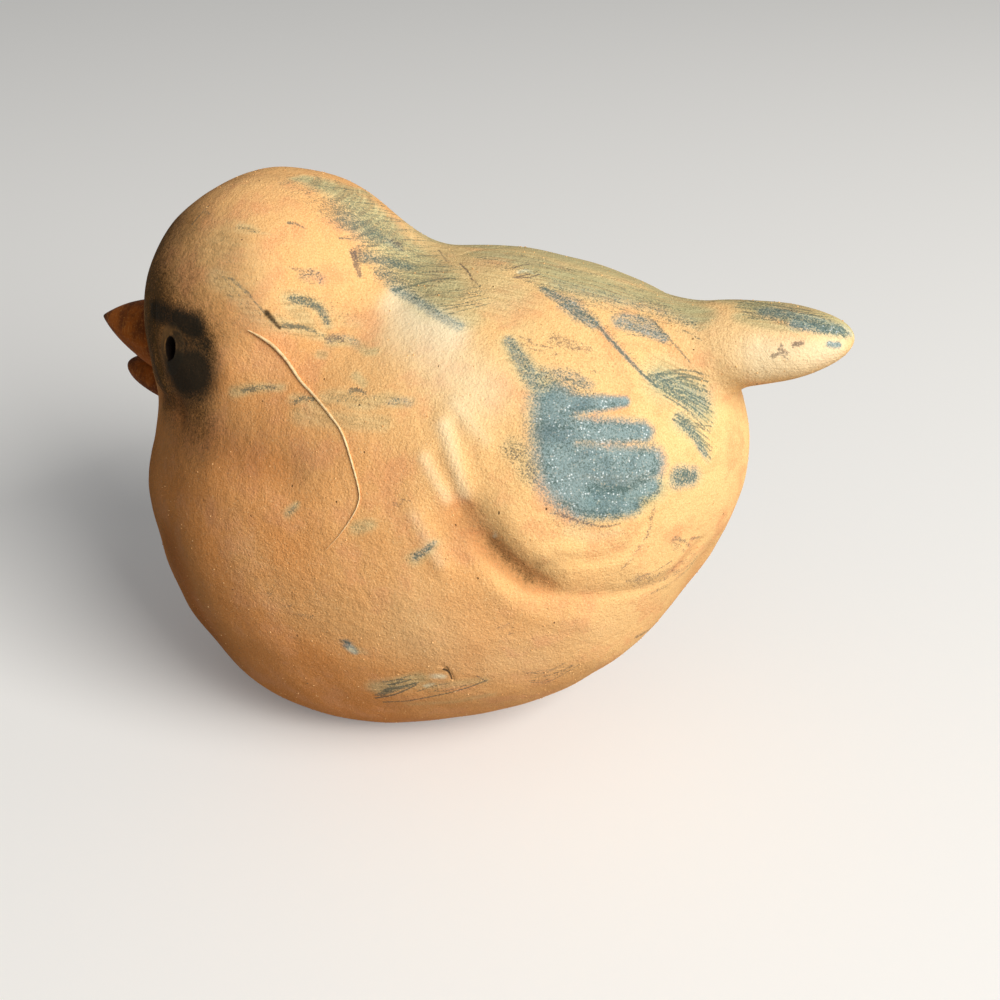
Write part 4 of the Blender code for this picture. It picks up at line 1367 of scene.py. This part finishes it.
def half_skin(whole, side):
    """One side of the skin, closed with a flat face on the middle plane."""
    bm = whole.copy()
    everything = bm.verts[:] + bm.edges[:] + bm.faces[:]
    bmesh.ops.bisect_plane(
        bm, geom=everything, dist=1e-7, plane_co=(0, 0, 0), plane_no=(0, side, 0), clear_inner=True
    )
    rim = [edge for edge in bm.edges if edge.is_boundary]
    bmesh.ops.holes_fill(bm, edges=rim)
    for edge in rim:
        edge.smooth = False
    bm.normal_update()
    return mesh_of("clay_" + SIDE_NAMES[side], bm)


def put_paints(mesh, places, twins, far, lines, clean=0.0):
    """Keeps each paint's amount on a mesh; the far side takes its twins' paint, and clean thins the haze."""
    bare = 1 - painted(on_left(places), lines["bare"])
    for name in PAINTS:
        brush = misted if name in MISTS else painted
        amount = brush(places, lines[name]) * (1 - far)
        if far.any():
            amount += brush(twins, lines[name]) * far
        if name in ("haze", "soot"):
            amount *= bare
        if name == "haze":
            amount *= 1 - clean
        put_values(mesh, name, amount)


RELIEF_FADE = 3 * MM
DEEP_DENT = 0.8 * MM


def relief_at(places, bird, lines):
    """How far presses and unevenness move the skin outwards, which fades at the base, and its dents."""
    relief = pressed(on_left(places), lines["relief"])
    moved = (relief + uneven(places, bird.form.unevenness)) * np.clip(places[:, 2] / RELIEF_FADE, 0, 1)
    return moved, np.clip(-relief / DEEP_DENT, 0, 1)


def dress(mesh, bird, view, eye, lines):
    """Presses the relief into a skin mesh and keeps the paints' places on it."""
    places = places_of(mesh)
    normals, _ = bird.outward(places)
    put_paints(mesh, places, mirrored(places), hidden(places, normals, view), lines)
    relief, dent = relief_at(places, bird, lines)
    put_values(mesh, "dent", dent)
    relief -= socket_depth(on_left(places), eye)
    put_places(mesh, places + normals * relief[:, None])


# Eyes and beak

class EyePlace:
    """The eye's own axes on the side of the head: up, across and out."""

    def __init__(self, form, bird, side):
        low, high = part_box("eye_" + SIDE_NAMES[side])
        centre = bird.settle(np.array([(low + high) / 2 - Vector((form.forward, 0, 0))]))
        out = Vector(bird.outward(centre)[0][0])
        across = Vector((0, 0, 1)).cross(out).normalized()
        turn = Matrix.Rotation(side * form.lean, 3, out)
        self.form, self.bird, self.side = form, bird, side
        self.centre = Vector(centre[0])
        self.out = np.array(out)
        self.across = np.array(turn @ across)
        self.up = np.array(turn @ out.cross(across))

    def outline(self, angles, height, width, top=1.0, foot=1.0):
        """Points round a drop shape: the larger top or foot is, the more pointed that end."""
        sharp = np.where(np.cos(angles) > 0, top, foot)
        return np.stack([np.cos(angles) * height / 2, sideways(angles, sharp) * width / 2], axis=1)

    def on_skin(self, flat, heights):
        """Places over the head's surface, from places on the eye's own plane."""
        points = np.array(self.centre) + flat[:, :1] * self.up + flat[:, 1:] * self.across
        points = self.bird.settle(points, rounds=5)
        return points + self.bird.outward(points)[0] * heights[:, None]


SOCKET_MARGIN = 0.5 * MM
SOCKET_SPARE = 0.6 * MM
SOCKET_STEEP = 4


def socket_depth(points, eye):
    """How deep the skin is sunk under an eye's pellet."""
    form = eye.form
    offset = points - np.array(eye.centre)
    up, across = offset @ eye.up, offset @ eye.across
    close = np.linalg.norm(offset, axis=1) < form.height
    scaled = np.hypot(up / (form.height / 2 - SOCKET_MARGIN), across / (form.width / 2 - SOCKET_MARGIN))
    return np.where(close, np.clip((1.0 - scaled) * SOCKET_STEEP, 0, 1) * (form.seat + SOCKET_SPARE), 0)


def angles_round(steps):
    """Angles from the top all the way round, in even steps."""
    return np.linspace(0, 2 * math.pi, steps, endpoint=False)


def sideways(angles, power):
    """The sines of angles; a power over 1 makes an oval pointed, and one under 1 makes it full."""
    return np.sign(np.sin(angles)) * np.abs(np.sin(angles)) ** power


EYE_STEPS = 96
LIP_HEIGHT = 0.10 * MM
LIP_PLACE = 0.12
LIP_WIDTH = 0.10


def eye_mesh(eye):
    """An almond pellet, pierced by a drop-shaped hole, as rings from the hole's floor to its seat."""
    form = eye.form
    angles = angles_round(EYE_STEPS)
    rim = eye.outline(angles, form.height, form.width, top=1.3, foot=1.3)
    hole = eye.outline(angles, form.hole_height, form.hole_width, top=0.9, foot=2.1)
    # Each ring has its outline, height and tone: the hole's floor, its wall, the lip and dome, and the seat.
    # The tone is painted shade, darkest on the hole's floor and the sunk seat.
    rings = []
    for share in np.linspace(0.1, 0.7, 5):
        rings.append((hole * share, -form.hole_depth, 1.0))
    for share in np.linspace(0, 1, 9)[1:]:
        wall = form.hole_depth * (1 - share) ** 1.5
        rings.append((hole * (0.72 + 0.28 * share), form.dome * share - wall, 1 - 0.45 * share**3))
    for share in np.linspace(0.05, 1, 18):
        lip = LIP_HEIGHT * math.exp(-(((share - LIP_PLACE) / LIP_WIDTH) ** 2))
        rise = form.dome * (1 - share**2) + lip
        rings.append((hole + (rim - hole) * share, rise, 0.3 * math.exp(-share * 9)))
    for share in np.linspace(0.2, 1, 4):
        rings.append((rim, -form.seat * share, 1.0))
    flat = np.concatenate([ring for ring, _, _ in rings])
    heights = np.repeat([height for _, height, _ in rings], EYE_STEPS)
    tone = np.repeat([shade for _, _, shade in rings], EYE_STEPS)
    places = eye.on_skin(flat, heights)
    return ring_mesh("eye_" + SIDE_NAMES[eye.side], places.reshape(len(rings), EYE_STEPS, 3), tone)


def ring_mesh(name, rings, tone):
    """A closed mesh through rings of points, capped at both ends, with a tone for each point."""
    bm = bmesh.new()
    rows = [[bm.verts.new(place) for place in ring] for ring in rings]
    for lower, upper in zip(rows, rows[1:]):
        for i in range(len(lower)):
            j = (i + 1) % len(lower)
            bm.faces.new((lower[i], lower[j], upper[j], upper[i]))
    bm.faces.new(rows[0][::-1])
    bm.faces.new(rows[-1])
    for face in bm.faces:
        face.smooth = True
    bmesh.ops.recalc_face_normals(bm, faces=bm.faces)
    mesh = mesh_of(name, bm)
    # On the beak the tone is its dark tip and edges of paint; on the eyes it is painted shade in the hole
    put_values(mesh, "tip", tone)
    return mesh


# The root and the nose are shares of the beak's length, and its dark edges lie at a cosine round it
BEAK_STEPS = 72
BEAK_POWER = 0.92
BEAK_ROOT = -0.35
BEAK_NOSE = 0.84
LEAST_BLUNT = 0.0004
EDGE_PLACE = 0.25
EDGE_WIDTH = 0.14


def beak_mesh(name, root, size, lift, above, below, tip):
    """A beak half; above and below are the fullness over and under its axis, and tip the tip's share."""
    long, wide, high = size
    angles = angles_round(BEAK_STEPS)
    axis = np.array([-math.cos(lift), 0, math.sin(lift)])
    up = np.array([math.sin(lift), 0, math.cos(lift)])
    side = np.array([0, 1, 0])
    fullness = np.where(np.cos(angles) > 0, above, below)
    blunted = np.sin(np.linspace(0.1, 1, 14) * math.pi / 2)
    shares = np.concatenate([np.linspace(BEAK_ROOT, BEAK_NOSE, 30), BEAK_NOSE + (1 - BEAK_NOSE) * blunted])
    rings, tone = [], []
    for share in shares:
        ahead = max(share, 0)
        blunt = math.sqrt(max(1 - ahead**9, LEAST_BLUNT))
        slender = (1 - (1 - tip) * ahead ** (1.0 + fullness)) * blunt
        rise = np.cos(angles) * slender * (0.45 + fullness * 0.55) * high / 2
        across = sideways(angles, BEAK_POWER) * wide / 2 * slender
        centre = np.array(root) + axis * share * long
        rings.append(centre + rise[:, None] * up + across[:, None] * side)
        edge = np.exp(-(((np.abs(np.cos(angles)) - EDGE_PLACE) / EDGE_WIDTH) ** 2))
        edge = 0.45 * edge * (fullness < 0.9)
        tone.append(np.clip((share - 0.90) / 0.12, 0, 0.8) + edge)
    return ring_mesh(name, np.array(rings), np.concatenate(tone))


# Geometry nodes

def node_group(name, inputs):
    """A geometry tree with named inputs, and the wrapped sockets of those inputs."""
    group = bpy.data.node_groups.new(name, "GeometryNodeTree")
    group.interface.new_socket("Geometry", in_out="INPUT", socket_type="NodeSocketGeometry")
    for label, kind in inputs.items():
        group.interface.new_socket(label, in_out="INPUT", socket_type="NodeSocket" + kind)
    group.interface.new_socket("Geometry", in_out="OUTPUT", socket_type="NodeSocketGeometry")
    tree = Tree(group)
    return tree, tree.outputs("NodeGroupInput")


def finish_group(tree, geometry, material):
    """The end of every geometry tree: realised, with its material."""
    geometry = tree.node("GeometryNodeRealizeInstances", values={"Geometry": geometry})
    geometry = tree.node("GeometryNodeSetMaterial", values={"Geometry": geometry, "Material": material})
    tree.node("NodeGroupOutput", values={"Geometry": geometry})
    return tree.tree


def grown(name, data, group, values):
    """The plain mesh that a geometry tree makes of a mesh or curve."""
    holder = new_object(name + "_source", data)
    modifier = holder.modifiers.new(name, "NODES")
    modifier.node_group = group
    for item in group.interface.items_tree:
        if item.in_out == "INPUT" and item.name in values:
            modifier[item.identifier] = values[item.name]
    mesh = evaluated_mesh(holder)
    bpy.data.objects.remove(holder)
    return mesh


CLEAR_OF_MIDDLE = 0.02 * MM
CLEAR_OF_BASE = 1.5 * MM
LEAST_PAINT = 0.3
FULL_TURN = 6.28


def grit_group():
    """Small faceted grains, scattered over the outside of a skin and half sunk in it."""
    inputs = {
        "Density": "Float", "Smallest": "Float", "Largest": "Float", "Seed": "Int", "Material": "Material",
    }
    tree, given = node_group("sand_grains", inputs)
    place = tree.outputs("ShaderNodeSeparateXYZ", {0: tree.node("GeometryNodeInputPosition")})
    outside = (place["Y"].math("ABSOLUTE") > CLEAR_OF_MIDDLE) * (place["Z"] > CLEAR_OF_BASE)
    for paint in ("haze", "soot", "slate"):
        amount = tree.node("GeometryNodeInputNamedAttribute", {"data_type": "FLOAT"}, {"Name": paint})
        outside = outside * (LEAST_PAINT - amount > 0)
    seed = given["Seed"]
    scatter = {"Mesh": given["Geometry"], "Selection": outside, "Density": given["Density"], "Seed": seed}
    points = tree.node("GeometryNodeDistributePointsOnFaces", values=scatter)
    grain = tree.node("GeometryNodeMeshIcoSphere", values={"Radius": 1.0, "Subdivisions": 1})
    chance = tree.node("FunctionNodeRandomValue", {"data_type": "FLOAT"}, {"Seed": seed}, output=1)
    size = given["Smallest"] + (given["Largest"] - given["Smallest"]) * chance**5
    turns = {"Max": (FULL_TURN,) * 3, "Seed": seed}
    turn = tree.node("FunctionNodeRandomValue", {"data_type": "FLOAT_VECTOR"}, turns)
    laid_grains = {"Points": points, "Instance": grain, "Rotation": turn, "Scale": size}
    grains = tree.node("GeometryNodeInstanceOnPoints", values=laid_grains)
    tone = tree.node("FunctionNodeRandomValue", {"data_type": "FLOAT"}, {"Seed": seed + 1}, output=1)
    grains = tree.node(
        "GeometryNodeStoreNamedAttribute",
        {"domain": "INSTANCE", "data_type": "FLOAT"},
        {"Geometry": grains, "Name": "tone", "Value": tone},
    )
    return finish_group(tree, grains, given["Material"])


def fibre_group():
    """A round fibre along a curve, thick near its start and thinning to its end."""
    inputs = {"Radius": "Float", "Sides": "Int", "Material": "Material"}
    tree, given = node_group("tapered_fibre", inputs)
    share = tree.node("GeometryNodeSplineParameter")
    grow = (share * 9 + 0.25).math("MINIMUM", 1.0)
    radius = given["Radius"] * (1.03 - share) ** 0.7 * grow
    curve = tree.node("GeometryNodeSetCurveRadius", values={"Curve": given["Geometry"], "Radius": radius})
    ring = tree.node("GeometryNodeCurvePrimitiveCircle", values={"Radius": 1.0, "Resolution": given["Sides"]})
    sweep = {"Curve": curve, "Profile Curve": ring, "Fill Caps": True, "Scale": radius}
    tube = tree.node("GeometryNodeCurveToMesh", values=sweep)
    return finish_group(tree, tube, given["Material"])


# Operators

class MakeStage(bpy.types.Operator):
    """Makes the floor, the lamp, the backdrop and the camera at the photograph's angle"""

    bl_idname = "bird.stage"
    bl_label = "Stage"

    def execute(self, context):
        scene = context.scene
        scene.view_settings.view_transform = "Standard"
        scene.camera = self.photo_camera(PhotoView(scene.stage_form))
        self.plain_floor(scene.stage_form)
        scene.world = self.studio(scene.stage_form)
        self.key_lamp(scene.stage_form)
        return {"FINISHED"}

    def photo_camera(self, view):
        """The camera that sees what the photograph shows."""
        data = bpy.data.cameras.new("photo_camera")
        data.sensor_width = 36
        data.lens = data.sensor_width / 2 / view.spread
        data.clip_start = 5 * MM
        camera = new_object("photo_camera", data)
        axes = Matrix([view.right, view.up, view.back]).transposed().to_4x4()
        camera.matrix_world = Matrix.Translation(view.place) @ axes
        return camera

    def plain_floor(self, stage):
        """The floor, which looks brighter to the camera than to the light that falls off it."""
        bm = bmesh.new()
        bmesh.ops.create_grid(bm, x_segments=1, y_segments=1, size=stage.floor_reach)
        floor = new_object("floor", mesh_of("floor", bm))
        floor.location.z = -stage.floor_gap
        finish = Finish("plain_floor", 0.9, gloss=0.1)
        path = finish.outputs("ShaderNodeLightPath")
        seen = path["Is Camera Ray"]
        for ray in ("Is Glossy Ray", "Is Transmission Ray"):
            seen = seen.math("MAXIMUM", path[ray])
        finish.set(Base_Color=finish.mix(seen, stage.floor_bounce, stage.floor))
        glow = finish.mix(seen, (0.0, 0.0, 0.0), (stage.floor_glow,) * 3)
        finish.set(Emission_Color=glow, Emission_Strength=1.0)
        floor.data.materials.append(finish.material)

    def studio(self, stage):
        """The light from all round, which the camera sees as a plain backdrop."""
        world = bpy.data.worlds.new("studio")
        world.use_nodes = True
        sky = Tree(world.node_tree)
        direct = sky.outputs("ShaderNodeLightPath")["Is Camera Ray"]
        strength = direct * stage.backdrop + (1 - direct) * stage.fill
        back = world.node_tree.nodes["Background"]
        sky.feed(back.inputs["Color"], (1.0, 1.0, 1.0))
        sky.feed(back.inputs["Strength"], strength)
        return world

    def key_lamp(self, stage):
        """The large square lamp, which faces the bird."""
        data = bpy.data.lights.new("key", "AREA")
        data.shape = "SQUARE"
        data.size = stage.key_size
        data.energy = stage.key_power
        data.color = stage.key_tint
        lamp = new_object("key", data)
        place = Vector(stage.key_place)
        aim = place - Vector((0, 0, stage.aim_height))
        lamp.matrix_world = Matrix.Translation(place) @ aim.to_track_quat("Z", "Y").to_matrix().to_4x4()


class MakeClay(bpy.types.Operator):
    """Makes the two halves of the clay skin, with wings and tail, and their paint"""

    bl_idname = "bird.clay"
    bl_label = "Clay skin"

    def execute(self, context):
        scene = context.scene
        bird = BirdShape(scene.bird_form)
        view = PhotoView(scene.stage_form)
        eye = EyePlace(scene.eye_form, bird, LEFT)
        lines = laid_families(bird, view)
        whole = bmesh.new()
        whole.from_mesh(even_skin(bird))
        brushed = [one for name in CRISP for one in lines[name] if one[2] > FAINT]
        refine(whole, brushed)
        refine(whole, [one for one in brushed if one[1].max() < THIN])
        finish = clay_finish(scene.clay_colours)
        for side in (LEFT, RIGHT):
            mesh = half_skin(whole, side)
            put_places(mesh, bird.settle(places_of(mesh), rounds=2))
            dress(mesh, bird, view, eye, lines)
            nodes = [f"body_{SIDE_NAMES[side]}_half", "wing_" + SIDE_NAMES[side], "tail", "seam_coil"]
            piece("clay_" + SIDE_NAMES[side], mesh, finish, "clay", *nodes)
        whole.free()
        return {"FINISHED"}


class MakeBeak(bpy.types.Operator):
    """Makes the two halves of the beak"""

    bl_idname = "bird.beak"
    bl_label = "Beak"

    def execute(self, context):
        form = context.scene.beak_form
        finish = beak_finish(context.scene.clay_colours)
        upper = beak_mesh(
            "upper_beak", form.upper_root, form.upper_size, form.upper_lift, above=0.9, below=0.45, tip=0.14
        )
        piece("upper_beak", upper, finish, "painted_beak", "beak_upper")
        lower = beak_mesh(
            "lower_beak", form.lower_root, form.lower_size, form.lower_lift, above=0.95, below=0.9, tip=0.40
        )
        piece("lower_beak", lower, finish, "painted_beak", "beak_lower")
        return {"FINISHED"}


class MakeEyes(bpy.types.Operator):
    """Makes the pierced pellet of each eye"""

    bl_idname = "bird.eyes"
    bl_label = "Eyes"

    def execute(self, context):
        scene = context.scene
        bird = BirdShape(scene.bird_form)
        lines = laid_families(bird, PhotoView(scene.stage_form))
        finish = eye_finish(scene.clay_colours)
        for side in (LEFT, RIGHT):
            mesh = eye_mesh(EyePlace(scene.eye_form, bird, side))
            places = places_of(mesh)
            far = np.full(len(places), float(side == RIGHT))
            put_paints(mesh, places, places * MIRROR, far, lines, clean=0.80)
            relief = relief_at(places, bird, lines)[0]
            put_places(mesh, places + bird.outward(places)[0] * relief[:, None])
            piece("eye_pellet_" + SIDE_NAMES[side], mesh, finish, "dark_eye", "eye_" + SIDE_NAMES[side])
        return {"FINISHED"}


class MakeGrit(bpy.types.Operator):
    """Scatters sand grains over the clay"""

    bl_idname = "bird.grit"
    bl_label = "Sand grains"

    def execute(self, context):
        scene = context.scene
        form = scene.grit_form
        finish = grit_finish(scene.clay_colours)
        group = grit_group()
        for side in (LEFT, RIGHT):
            skin = bpy.data.objects["clay_" + SIDE_NAMES[side]].data
            values = {
                "Density": form.density, "Smallest": form.smallest, "Largest": form.largest,
                "Seed": form.seed + side, "Material": finish,
            }
            name = "sand_grains_" + SIDE_NAMES[side]
            piece(name, grown(name, skin, group, values), finish, "clay")
        return {"FINISHED"}


class MakeFibre(bpy.types.Operator):
    """Lays the stray fibre on the breast"""

    bl_idname = "bird.fibre"
    bl_label = "Stuck fibre"

    def execute(self, context):
        scene = context.scene
        form = scene.fibre_form
        bird = BirdShape(scene.bird_form)
        line = bird.cast(PhotoView(scene.stage_form), through(np.array(FIBRE_LINE, float), step=3))
        line = line + bird.outward(line)[0] * form.thickness / 2
        curve = bpy.data.curves.new("fibre_line", "CURVE")
        curve.dimensions = "3D"
        spline = curve.splines.new("POLY")
        spline.points.add(len(line) - 1)
        for point, place in zip(spline.points, line):
            point.co = (*place, 1)
        finish = fibre_finish(scene.clay_colours)
        values = {"Radius": form.thickness / 2, "Sides": form.sides, "Material": finish}
        mesh = grown("stuck_fibre", curve, fibre_group(), values)
        mesh.shade_smooth()
        piece("stuck_fibre", mesh, finish, "clay")
        return {"FINISHED"}


OPERATORS = (MakeStage, MakeClay, MakeBeak, MakeEyes, MakeGrit, MakeFibre)


class BirdPanel(bpy.types.Panel):
    """Lists the bird's sizes, colours and steps in the sidebar"""

    bl_idname = "VIEW3D_PT_bird"
    bl_label = "Terracotta bird"
    bl_space_type = "VIEW_3D"
    bl_region_type = "UI"
    bl_category = "Bird"

    def draw(self, context):
        for operator in OPERATORS:
            self.layout.operator(operator.bl_idname)
        for name, group in FORMS.items():
            box = self.layout.box()
            box.label(text=group.__doc__)
            for key in group.__annotations__:
                box.prop(getattr(context.scene, name), key)


CLASSES = (*FORMS.values(), *OPERATORS, BirdPanel)


def register():
    for one in CLASSES:
        bpy.utils.register_class(one)
    for name, group in FORMS.items():
        setattr(bpy.types.Scene, name, bpy.props.PointerProperty(type=group))


def unregister():
    for name in FORMS:
        delattr(bpy.types.Scene, name)
    for one in reversed(CLASSES):
        bpy.utils.unregister_class(one)


def main():
    """Makes every piece in order."""
    register()
    bpy.ops.bird.stage()
    bpy.ops.bird.clay()
    bpy.ops.bird.beak()
    bpy.ops.bird.eyes()
    bpy.ops.bird.grit()
    bpy.ops.bird.fibre()


if __name__ == "__main__":
    main()
